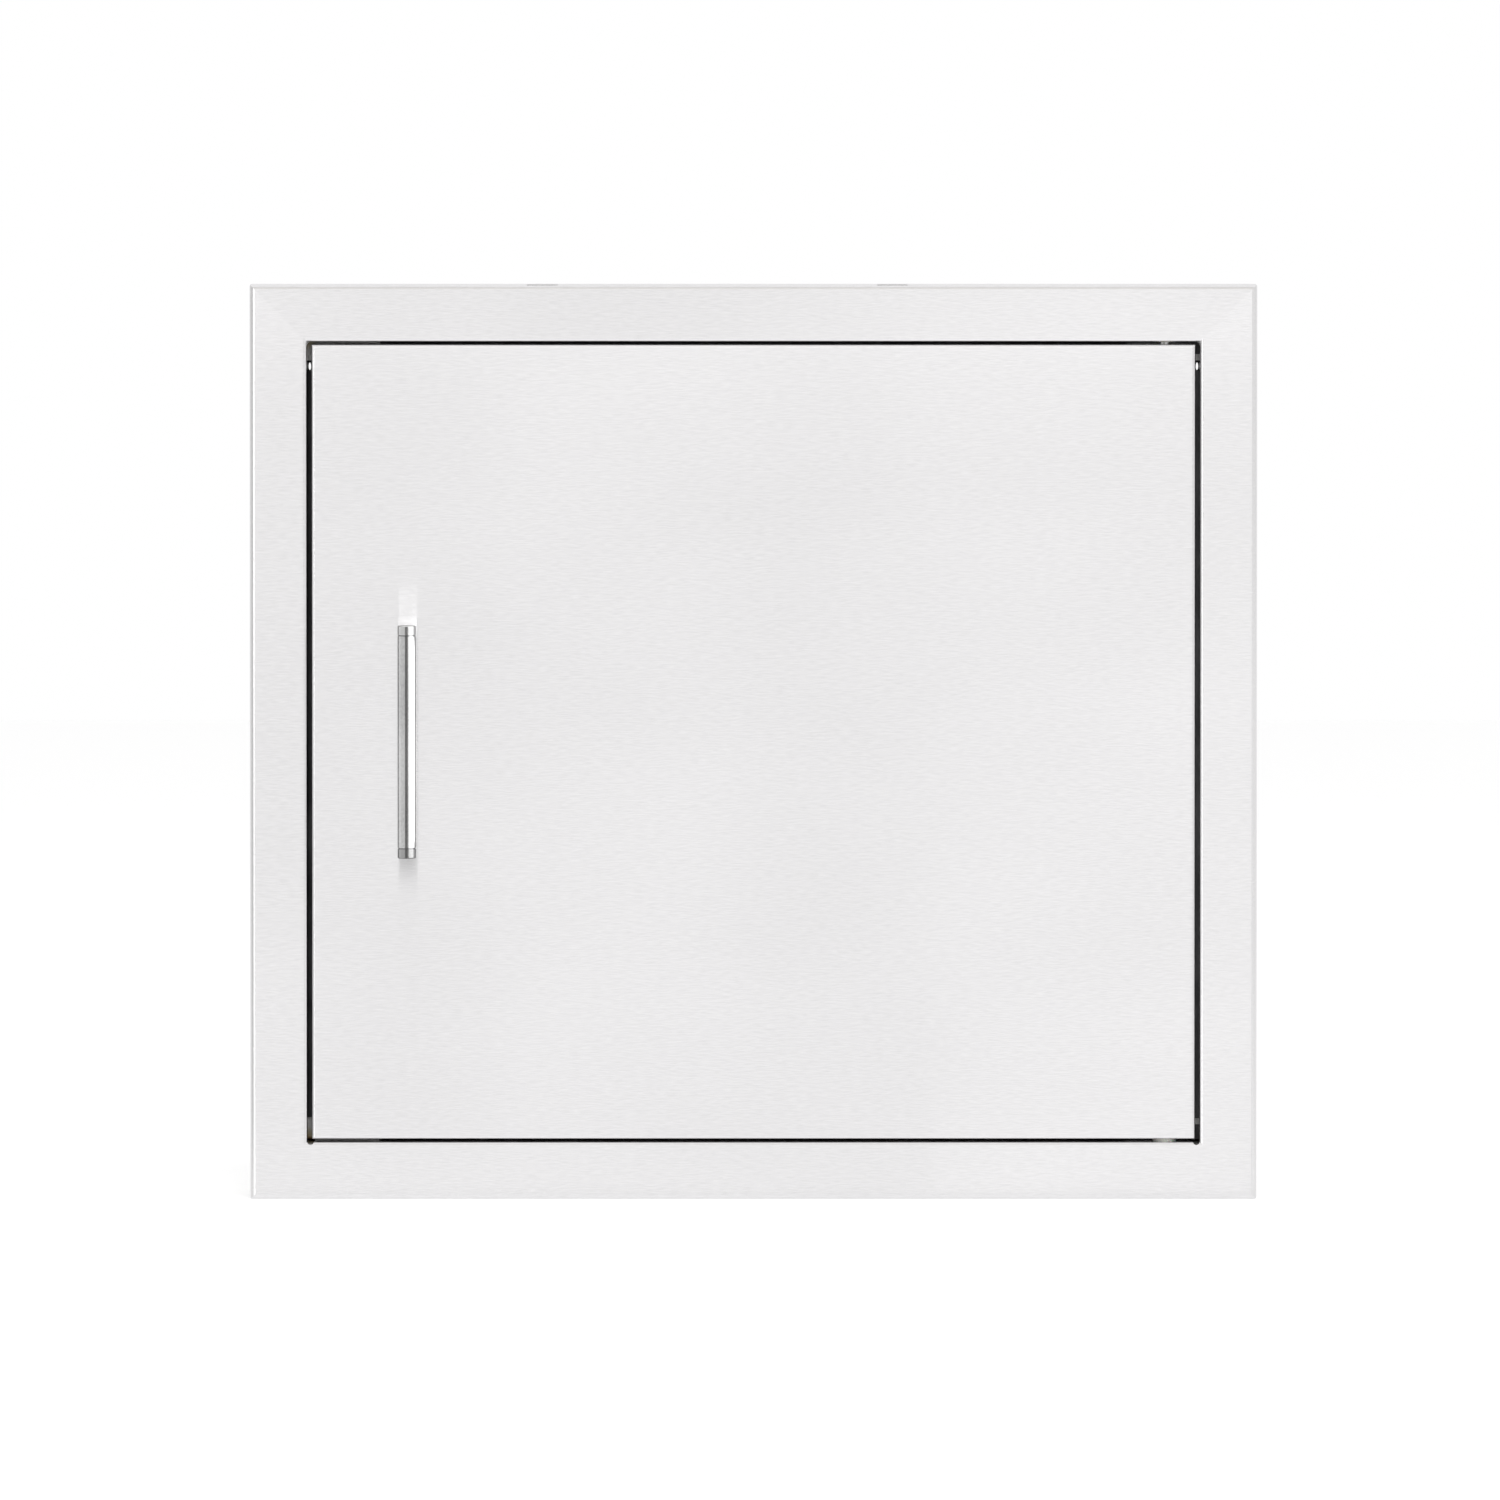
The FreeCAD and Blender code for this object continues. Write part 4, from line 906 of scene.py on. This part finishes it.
# %% Zinc plate
zinc, tree = new_material("bright zinc plate on mild steel, clear passivated")
clouds = add_node(tree, "TexNoise", {"Scale": 1.0, "Detail": 3.0}, {"Vector": cells(tree, (12, 12, 12))})
runs = add_node(
    tree, "TexNoise", {"Scale": 1.0, "Detail": 2.0}, {"Vector": cells(tree, (7, 7, 7), (40, 20, 0))}
)
bluish = add_node(
    tree, "Mix", {"data_type": "RGBA", 6: linear("#AEB6C0"), 7: linear("#D2D8DE")}, {"Factor": clouds}
)
stain = add_node(tree, "MapRange", {"From Min": 0.55, "From Max": 0.75, "To Max": 0.5}, {"Value": runs})
colour = add_node(
    tree, "Mix", {"data_type": "RGBA", 7: linear("#D8CFA4")}, {"Factor": stain, 6: bluish}
)
dull = add_node(tree, "MapRange", {"To Min": 0.26, "To Max": 0.42}, {"Value": clouds})
grit = add_node(tree, "TexNoise", {"Scale": 1.0, "Detail": 2.0}, {"Vector": cells(tree, (0.5, 0.5, 0.5))})
skin_with_relief(tree, (0.15, 0.02, grit), {"Metallic": 1.0}, {"Base Color": colour, "Roughness": dull})
print("plate:", zinc.name)

# %% [markdown]
# ## Spring wire
# The spring is drawn wire: even, a little darker, with fine lines drawn a little coarser than real.

# %% Spring wire
wire, tree = new_material("drawn stainless spring wire")
lines = add_node(
    tree,
    "TexNoise",
    {"Scale": 1.0, "Detail": 3.0, "Roughness": 0.6},
    {"Vector": cells(tree, (1.5, 1.5, 0.12))},
)
colour = add_node(
    tree, "Mix", {"data_type": "RGBA", 6: linear("#8E8E90"), 7: linear("#C2C2C2")}, {"Factor": lines}
)
skin_with_relief(tree, (0.3, 0.01, lines), {"Metallic": 1.0, "Roughness": 0.27}, {"Base Color": colour})
print("wire:", wire.name)

# %% [markdown]
# ## Rubber, plastics and magnet
# The seals are closed-cell EPDM: a dark grey skin with fine pores and a pale bloom.

# %% Seal rubber
rubber, tree = new_material("black EPDM seal, skinned foam with bloom")
pores = add_node(tree, "TexVoronoi", {"Scale": 1.0}, {"Vector": cells(tree, (0.5, 0.5, 0.5))})
bloom = add_node(tree, "TexNoise", {"Scale": 1.0, "Detail": 4.0}, {"Vector": cells(tree, (9, 9, 30))})
pale = add_node(tree, "MapRange", {"From Min": 0.45, "From Max": 0.7}, {"Value": bloom})
colour = add_node(
    tree, "Mix", {"data_type": "RGBA", 6: linear("#3A3A3C"), 7: linear("#58585A")}, {"Factor": pale}
)
skin_with_relief(tree, (0.4, 0.06, pores), {"Roughness": 0.62}, {"Base Color": colour})
print("seal:", rubber.name)

# %% [markdown]
# The catches and the knob are moulded nylon. The catches keep the texture of a spark-eroded mould,
# and the knob is satin from handling, so one function makes both from a texture's size.

# %% Moulded nylon


def moulded_nylon(name, dark, light, roughness, texture):
    """Black nylon with a mould texture of that size in millimetres."""
    material, tree = new_material(name)
    grain = add_node(
        tree, "TexNoise", {"Scale": 1.0, "Detail": 2.0}, {"Vector": cells(tree, (texture, texture, texture))}
    )
    flow = add_node(tree, "TexNoise", {"Scale": 1.0, "Detail": 2.0}, {"Vector": cells(tree, (6, 6, 6))})
    colour = add_node(
        tree, "Mix", {"data_type": "RGBA", 6: linear(dark), 7: linear(light)}, {"Factor": flow}
    )
    sheen = add_node(
        tree, "MapRange", {"To Min": roughness - 0.08, "To Max": roughness + 0.08}, {"Value": grain}
    )
    skin_with_relief(
        tree, (0.35, 0.04, grain), {"IOR": 1.53}, {"Base Color": colour, "Roughness": sheen}
    )
    return material


catch_nylon = moulded_nylon("black moulded nylon, spark eroded texture", "#1C1C1E", "#2A2A2C", 0.5, 0.35)
knob_nylon = moulded_nylon("black moulded nylon, satin from handling", "#161618", "#222224", 0.3, 0.6)
print("plastics:", catch_nylon.name, "|", knob_nylon.name)

# %% [markdown]
# The magnets are sintered ferrite: pressed powder, dull, with a bright speck where a grain broke.

# %% Ferrite
ferrite, tree = new_material("sintered ferrite, dull with bright specks")
grains = add_node(tree, "TexVoronoi", {"Scale": 1.0}, {"Vector": cells(tree, (0.4, 0.4, 0.4))})
speck = add_node(
    tree,
    "MapRange",
    {"From Min": 0.12, "From Max": 0.3, "To Min": 1.0, "To Max": 0.0},
    {"Value": grains},
)
colour = add_node(
    tree, "Mix", {"data_type": "RGBA", 6: linear("#3A3A3E"), 7: linear("#6A6A70")}, {"Factor": speck}
)
skin_with_relief(
    tree, (0.4, 0.03, grains), {"Roughness": 0.58, "Specular IOR Level": 0.7}, {"Base Color": colour}
)
print("magnet:", ferrite.name)

# %% [markdown]
# The bushes are white acetal, which lets a little light in. The lathe left rings round the pivot's
# axis, so the rings are centred on it.

# %% Acetal
TOOL_PITCH = 0.5

bush_low, bush_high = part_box("lower_pivot_bush")
axis_x = (bush_low.x + bush_high.x) / 2 / MM
axis_y = (bush_low.y + bush_high.y) / 2 / MM

acetal, tree = new_material("natural white acetal, turned")
rings = add_node(
    tree,
    "TexWave",
    {
        "wave_type": "RINGS",
        "rings_direction": "Z",
        "Scale": math.pi / 10 / TOOL_PITCH,
        "Distortion": 0.6,
        "Detail": 1.0,
    },
    {"Vector": cells(tree, (1, 1, 1), (axis_x, axis_y, 0))},
)
colour = add_node(
    tree,
    "Mix",
    {"data_type": "RGBA", 6: linear("#DAD8CF"), 7: linear("#ECEAE4")},
    {"Factor": rings.outputs["Fac"]},
)
skin_with_relief(
    tree,
    (0.2, 0.02, rings.outputs["Fac"]),
    {"Roughness": 0.36, "IOR": 1.48, "Subsurface Weight": 0.15, "Subsurface Scale": 1.2 * MM},
    {"Base Color": colour},
)
print("pivot axis at", round(axis_x, 1), round(axis_y, 1), "mm")

# %% [markdown]
# ## Which piece has which finish
# Each slot of the record has one finish. A few pieces of the turned slot get a finish of their own.

# %% Finishes on the CAD pieces
finishes = {
    "brushed_stainless_face": brushed,
    "mill_stainless": mill,
    "turned_stainless": upright_turned,
    "zinc_plated_steel": zinc,
    "spring_steel": wire,
    "black_rubber_seal": rubber,
    "catch_plastic": catch_nylon,
    "ferrite_magnet": ferrite,
    "acetal_bush": acetal,
    "knob_plastic": knob_nylon,
}
own_finishes = {
    "handle_bar": bar_steel,
    "upper_handle_cap": cap_steel,
    "lower_handle_cap": cap_steel,
    "handle_posts": level_turned,
    "release_lever": level_turned,
}
for row in frame["record"]["subparts"]:
    finish = own_finishes.get(row["node"], finishes[row["material_slot"]])
    for slot in nodes[row["node"]].material_slots:
        slot.material = finish
print("finishes:", len({item.name for item in [*finishes.values(), *own_finishes.values()]}))

# %% [markdown]
# ## Small pieces
# The CAD holds plain stand-ins for the rivets, the catches' screws and the knob: right in size and
# place, with no detail. Here they get their real forms. All of them are turned shapes, so one
# helper makes them as a lathe would: a disc is pulled along its axis and widened or narrowed at
# each station. A screw modifier round a drawn profile would do the same.

# %% Turning helper


def spot_mm(x, y, z):
    """Place in metres of a spot in millimetres."""
    return Vector((x * MM, y * MM, z * MM))


def turned_piece(name, start, stations, sides):
    """Solid of revolution along +Y from start. Stations are (way, radius) in millimetres."""
    first_way, first_radius = stations[0]
    bpy.ops.object.select_all(action="DESELECT")
    bpy.ops.mesh.primitive_circle_add(
        vertices=sides,
        radius=first_radius * MM,
        fill_type="NGON",
        location=start + Vector((0, first_way * MM, 0)),
        rotation=(math.radians(-90), 0, 0),
    )
    piece = bpy.context.object
    piece.name = name
    bpy.ops.object.mode_set(mode="EDIT")
    bpy.ops.mesh.select_all(action="SELECT")
    before = stations[0]
    for station in stations[1:]:
        bpy.ops.mesh.extrude_region_move(
            TRANSFORM_OT_translate={"value": (0, (station[0] - before[0]) * MM, 0)}
        )
        share = station[1] / before[1]
        bpy.ops.transform.resize(
            value=(share, 1, share), center_override=start + Vector((0, station[0] * MM, 0))
        )
        before = station
    bpy.ops.mesh.select_all(action="SELECT")
    bpy.ops.mesh.normals_make_consistent(inside=False)
    bpy.ops.object.mode_set(mode="OBJECT")
    return piece


print("turning helper ready")

# %% [markdown]
# Every new piece ends the same way: it gets its finish and it rides on the body that carries it.
# What the object has several times is made once and then copied.

# %% Finishing helpers
SMOOTH_ANGLE = 35


def only(piece):
    """Selects this piece alone."""
    bpy.ops.object.select_all(action="DESELECT")
    piece.select_set(True)
    bpy.context.view_layer.objects.active = piece


def settle(piece, body, finish):
    """Gives a finished piece its place, its finish and its body."""
    only(piece)
    bpy.ops.object.transform_apply(location=True, rotation=True, scale=True)
    bpy.ops.object.shade_smooth_by_angle(angle=math.radians(SMOOTH_ANGLE))
    piece.data.materials.clear()
    piece.data.materials.append(finish)
    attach(piece, body)


def copy_to(piece, name, offset):
    """Copy with its own mesh, moved by offset in metres."""
    copy = piece.copy()
    copy.data = piece.data.copy()
    copy.name = name
    copy.data.transform(Matrix.Translation(offset))
    bpy.context.scene.collection.objects.link(copy)
    return copy


print("smooth up to", SMOOTH_ANGLE, "degrees")

# %% [markdown]
# The other small pieces are cut from a block, as they would be punched or moulded round a core.
# The core is a second shape that a Boolean takes away, and a bevel then breaks the sharp edges.

# %% Cutting helpers


def block(name, middle, size, turn=0):
    """Box of that size in metres, turned about Y by degrees."""
    bpy.ops.object.select_all(action="DESELECT")
    bpy.ops.mesh.primitive_cube_add(size=1.0, location=middle)
    piece = bpy.context.object
    piece.name = name
    piece.scale = size
    piece.rotation_euler = (0, math.radians(turn), 0)
    bpy.ops.object.transform_apply(location=True, rotation=True, scale=True)
    return piece


def bore(middle, radius, length, sides):
    """Cylinder along Y to cut a hole with. Radius and length are in millimetres."""
    bpy.ops.object.select_all(action="DESELECT")
    bpy.ops.mesh.primitive_cylinder_add(
        vertices=sides,
        radius=radius * MM,
        depth=length * MM,
        location=middle,
        rotation=(math.radians(90), 0, 0),
    )
    return bpy.context.object


def cut_away(piece, cutter):
    """Takes the cutter's shape out of the piece."""
    only(piece)
    cut = piece.modifiers.new("cut", "BOOLEAN")
    cut.operation = "DIFFERENCE"
    cut.solver = "EXACT"
    cut.object = cutter
    bpy.ops.object.modifier_apply(modifier=cut.name)
    bpy.data.objects.remove(cutter)


def soften(piece, width, segments, angle):
    """Bevels, by a width in millimetres, the edges that turn by more than that many degrees."""
    edge = piece.modifiers.new("soft edge", "BEVEL")
    edge.width = width * MM
    edge.segments = segments
    edge.limit_method = "ANGLE"
    edge.angle_limit = math.radians(angle)
    bpy.ops.object.modifier_apply(modifier=edge.name)


print("cutting helpers ready")

# %% [markdown]
# ### Blind rivets
# Twelve blind rivets hold the inner skin on the lips of the door. Seen from behind, each is a low
# dome with a pit, in which the end of its broken mandrel sits. Inside the door the shank is
# squeezed into a bulge. The stations run from the bulge to the dome.

# %% Blind rivets
RIVET_SIDES = 28
RIVET_STATIONS = [
    (5.1, 0.9), (5.2, 1.4), (5.5, 1.8), (5.9, 1.85), (6.25, 1.6), (8.1, 1.6), (8.1, 3.2), (8.25, 3.2),
    (8.6, 2.85), (8.9, 2.2), (9.05, 1.6), (9.1, 1.15), (8.75, 1.05), (8.75, 0.9), (8.95, 0.8), (9.0, 0.3),
]
RIVET_COLUMNS = (-235.5, -78.5, 78.5, 235.5)
RIVET_ROWS = (-211.0, 211.0)
SIDE_RIVET_ROWS = (-70.33, 70.33)
RIVET_HOME = (RIVET_COLUMNS[-1], RIVET_ROWS[-1])

rivet_places = [(x, z) for z in RIVET_ROWS for x in RIVET_COLUMNS]
rivet_places += [(x, z) for z in SIDE_RIVET_ROWS for x in (RIVET_COLUMNS[0], RIVET_COLUMNS[-1])]
first_rivet = turned_piece(
    "blind_rivet_00", spot_mm(RIVET_HOME[0], 0, RIVET_HOME[1]), RIVET_STATIONS, RIVET_SIDES
)
settle(first_rivet, "door", level_turned)
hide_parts("liner_rivets")
others = [spot for spot in rivet_places if spot != RIVET_HOME]
for number, (x, z) in enumerate(others, start=1):
    shift = spot_mm(x - RIVET_HOME[0], 0, z - RIVET_HOME[1])
    rivet = copy_to(first_rivet, f"blind_rivet_{number:02d}", shift)
    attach(rivet, "door")
    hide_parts("liner_rivets")
print("rivets:", 1 + len(others), "of", len(first_rivet.data.polygons), "faces")

# %% [markdown]
# ### Screws of the catches
# Each catch is held by two pan-head screws. The thread is drawn as rings, since it is hidden in the
# plastic, and a real helix would only add faces.

# %% Pan-head screws
SCREW_SIDES = 24
SCREW_COLUMNS = (-239.1, -212.6)
SCREW_ROWS = (-216.4, 216.4)
SCREW_HOME = (SCREW_COLUMNS[0], SCREW_ROWS[-1])
SCREW_STATIONS = [
    (16.8, 1.7), (16.85, 2.4), (17.1, 2.95), (17.5, 3.22), (18.0, 3.3), (18.6, 3.3),
    (18.8, 3.2), (18.8, 1.75),
]
THREAD_RINGS = 7
THREAD_PITCH = 1.0
THREAD_STATIONS = [(19.2, 1.75), (19.55, 1.42), (19.85, 1.42)]
SCREW_TIP = [(26.3, 1.4), (26.8, 0.7)]

for ring in range(THREAD_RINGS):
    SCREW_STATIONS += [(way + ring * THREAD_PITCH, radius) for way, radius in THREAD_STATIONS]
first_screw = turned_piece(
    "catch_screw_0", spot_mm(SCREW_HOME[0], 0, SCREW_HOME[1]), SCREW_STATIONS + SCREW_TIP, SCREW_SIDES
)
print("screw:", len(first_screw.data.polygons), "faces before the recess")

# %% [markdown]
# The cross recess is cut by two tapered blocks, as a header's punch forms it. After that the screw
# is finished and copied to the other three places.

# %% Cross recess
RECESS_Y = 16.9
PUNCH_SIZE = (3.4 * MM, 2.4 * MM, 0.8 * MM)
PUNCH_TAPER = 0.45

recess_middle = spot_mm(SCREW_HOME[0], RECESS_Y, SCREW_HOME[1])
for turn in (45, 135):
    punch = block("punch", recess_middle, PUNCH_SIZE, turn)
    for vertex in punch.data.vertices:
        vertex.select = vertex.co.y > recess_middle.y
    bpy.ops.object.mode_set(mode="EDIT")
    bpy.ops.mesh.select_mode(type="VERT")
    bpy.ops.transform.resize(value=(PUNCH_TAPER, 1, PUNCH_TAPER), center_override=recess_middle)
    bpy.ops.object.mode_set(mode="OBJECT")
    cut_away(first_screw, punch)
settle(first_screw, "frame", zinc)
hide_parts("catch_screws")
screw_places = [(x, z) for x in SCREW_COLUMNS for z in SCREW_ROWS]
others = [spot for spot in screw_places if spot != SCREW_HOME]
for number, (x, z) in enumerate(others, start=1):
    shift = spot_mm(x - SCREW_HOME[0], 0, z - SCREW_HOME[1])
    screw = copy_to(first_screw, f"catch_screw_{number}", shift)
    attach(screw, "frame")
    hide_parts("catch_screws")
print("screws:", 1 + len(others), "of", len(first_screw.data.polygons), "faces")

# %% [markdown]
# ### Release knob
# The knob that draws the top pin is moulded with flutes for the thumb, a hollow back and a bore
# for the stem. It is turned from the bottom of the bore outwards, and every third column of its
# outside is then drawn in.

# %% Fluted knob
KNOB_SIDES = 36
KNOB_STATIONS = [
    (8.0, 2.0), (0.0, 2.0), (0.0, 3.5), (0.25, 4.05), (0.7, 4.35), (1.3, 4.5), (8.6, 4.5), (9.3, 4.35),
    (9.75, 4.0), (10.0, 3.5), (10.0, 2.7), (9.7, 2.5), (9.5, 1.6), (9.4, 0.4),
]
FLUTE_EVERY = 3
FLUTE_OUTSIDE = 4.3
FLUTE_SHARE = 0.92

knob_low, knob_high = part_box("release_knob")
knob_start = Vector(((knob_low.x + knob_high.x) / 2, knob_low.y, (knob_low.z + knob_high.z) / 2))
knob = turned_piece("fluted_release_knob", knob_start, KNOB_STATIONS, KNOB_SIDES)
drawn_in = 0
for vertex in knob.data.vertices:
    spot = knob.matrix_world @ vertex.co - knob_start
    bearing = math.degrees(math.atan2(spot.z, spot.x)) % 360
    column = round(bearing / (360 / KNOB_SIDES))
    wide = math.hypot(spot.x, spot.z) > FLUTE_OUTSIDE * MM
    vertex.select = wide and column % FLUTE_EVERY == 0
    drawn_in += vertex.select
only(knob)
bpy.ops.object.mode_set(mode="EDIT")
bpy.ops.mesh.select_mode(type="VERT")
bpy.ops.transform.resize(value=(FLUTE_SHARE, 1, FLUTE_SHARE), center_override=knob_start)
bpy.ops.object.mode_set(mode="OBJECT")
settle(knob, "release_pin", knob_nylon)
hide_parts("release_knob")
print("knob:", drawn_in, "vertices drawn in,", len(knob.data.polygons), "faces")

# %% [markdown]
# ### Welds
# The four walls of the sleeve meet at the corners in two short welds each. Weld metal is rougher
# than the sheet, with straw and blue where each puddle cooled.

# %% Weld metal
weld_metal, tree = new_material("stainless weld bead, heat tinted")
puddle = add_node(tree, "TexNoise", {"Scale": 1.0, "Detail": 3.0}, {"Vector": cells(tree, (3, 1, 3))})
straw = add_node(
    tree, "Mix", {"data_type": "RGBA", 6: linear("#8F93A8"), 7: linear("#D2C2A0")}, {"Factor": puddle}
)
dull = add_node(tree, "MapRange", {"To Min": 0.25, "To Max": 0.5}, {"Value": puddle})
skin_with_relief(tree, (0.4, 0.05, puddle), {"Metallic": 1.0}, {"Base Color": straw, "Roughness": dull})
print("weld:", weld_metal.name)

# %% [markdown]
# A weld is a row of overlapping puddles, so the bead is turned with a radius that swells and
# shrinks. One bead is made in an upper corner and copied to the other seven places.

# %% Sleeve welds
BEAD_SIDES = 14
BEAD_LENGTH = 16
BEAD_STARTS = (8, 32)
BEAD_SWELL = 1.15
BEAD_WAIST = 0.95

bead_stations = [(0, 0.3), (0.15, 0.75)]
for puddle_number in range(BEAD_LENGTH):
    bead_stations += [(puddle_number + 0.5, BEAD_SWELL), (puddle_number + 1.0, BEAD_WAIST)]
bead_stations += [(BEAD_LENGTH + 0.3, 0.7), (BEAD_LENGTH + 0.45, 0.2)]
first_bead = turned_piece(
    "sleeve_weld_0", Vector((sleeve_x, BEAD_STARTS[0] * MM, sleeve_z)), bead_stations, BEAD_SIDES
)
settle(first_bead, "frame", weld_metal)
bead_offsets = [
    Vector((x, (start - BEAD_STARTS[0]) * MM, z))
    for x in (0, -2 * sleeve_x)
    for z in (0, -2 * sleeve_z)
    for start in BEAD_STARTS
]
for number, shift in enumerate(bead_offsets[1:], start=1):
    bead = copy_to(first_bead, f"sleeve_weld_{number}", shift)
    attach(bead, "frame")
print("welds:", len(bead_offsets), "of", len(first_bead.data.polygons), "faces")

# %% [markdown]
# In the two upper corners of the opening the welds were dressed to a small round, which shows from
# the front. That is a block in the corner, from which a cylinder is cut. It reaches a little into
# both walls, so no gap is left.

# %% Rounded upper corners of the opening
CORNER_R = 2.6
CORNER_SIDES = 96
OPEN_X = 247.6
OPEN_Z = 222.2
INTO_WALL = 0.3
FILL_FRONT = -11.4
FILL_BACK = -4.5
CORNER_CUT_LENGTH = 20

fill_side = (CORNER_R + INTO_WALL) * MM
round_x = OPEN_X - CORNER_R
round_z = OPEN_Z - CORNER_R
for side, name in ((-1, "latch_corner_fill"), (1, "hinge_corner_fill")):
    middle = spot_mm(
        side * (round_x + OPEN_X + INTO_WALL) / 2,
        (FILL_FRONT + FILL_BACK) / 2,
        (round_z + OPEN_Z + INTO_WALL) / 2,
    )
    fill = block(name, middle, (fill_side, (FILL_BACK - FILL_FRONT) * MM, fill_side))
    round_middle = (side * round_x * MM, middle.y, round_z * MM)
    cut_away(fill, bore(round_middle, CORNER_R, CORNER_CUT_LENGTH, CORNER_SIDES))
    soften(fill, width=0.5, segments=3, angle=60)
    settle(fill, "frame", brushed)
print("corner rounds:", CORNER_R, "mm,", len(fill.data.polygons), "faces")

# %% [markdown]
# ### Vent grommets
# At each upper corner the strips behind the door leave a small vent. A moulded rubber grommet lines
# it, with an upright oval hole. Light from behind comes through the oval, and from the front it
# shows in the gap as a small pale slot between two dark lines.

# %% Vent grommets
GROMMET_FRONT = 18.9
GROMMET_BACK = 21.5
GROMMET_OUTER = 248.7
GROMMET_INNER = 241.5
HOLE_MIDDLE = 246.4
HOLE_DROP = 0.4
HOLE_HALF = 0.7
HOLE_STRETCH = 3.0
HOLE_SIDES = 32
HOLE_CUT_LENGTH = 10

vent_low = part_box("latch_stop_strip")[1].z
vent_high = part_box("top_stop_strip")[0].z
grommet_size = (
    (GROMMET_OUTER - GROMMET_INNER) * MM,
    (GROMMET_BACK - GROMMET_FRONT) * MM,
    vent_high - vent_low,
)
for side, name in ((-1, "latch_vent_grommet"), (1, "hinge_vent_grommet")):
    middle = Vector(
        (
            side * (GROMMET_OUTER + GROMMET_INNER) / 2 * MM,
            (GROMMET_FRONT + GROMMET_BACK) / 2 * MM,
            (vent_low + vent_high) / 2,
        )
    )
    grommet = block(name, middle, grommet_size)
    hole_middle = (side * HOLE_MIDDLE * MM, middle.y, middle.z - HOLE_DROP * MM)
    oval = bore(hole_middle, HOLE_HALF, HOLE_CUT_LENGTH, HOLE_SIDES)
    oval.scale = (1, HOLE_STRETCH, 1)
    bpy.ops.object.transform_apply(location=True, rotation=True, scale=True)
    cut_away(grommet, oval)
    soften(grommet, width=0.25, segments=2, angle=50)
    settle(grommet, "frame", rubber)
print("grommets:", len(grommet.data.polygons), "faces each")

# %% [markdown]
# ## Colours and the end
# The Standard view shows light as it is: a card of radiance 1 is the white of the screen, so the
# tones above can be set against the picture.

# %% Colours and the end
bpy.context.scene.view_settings.view_transform = "Standard"
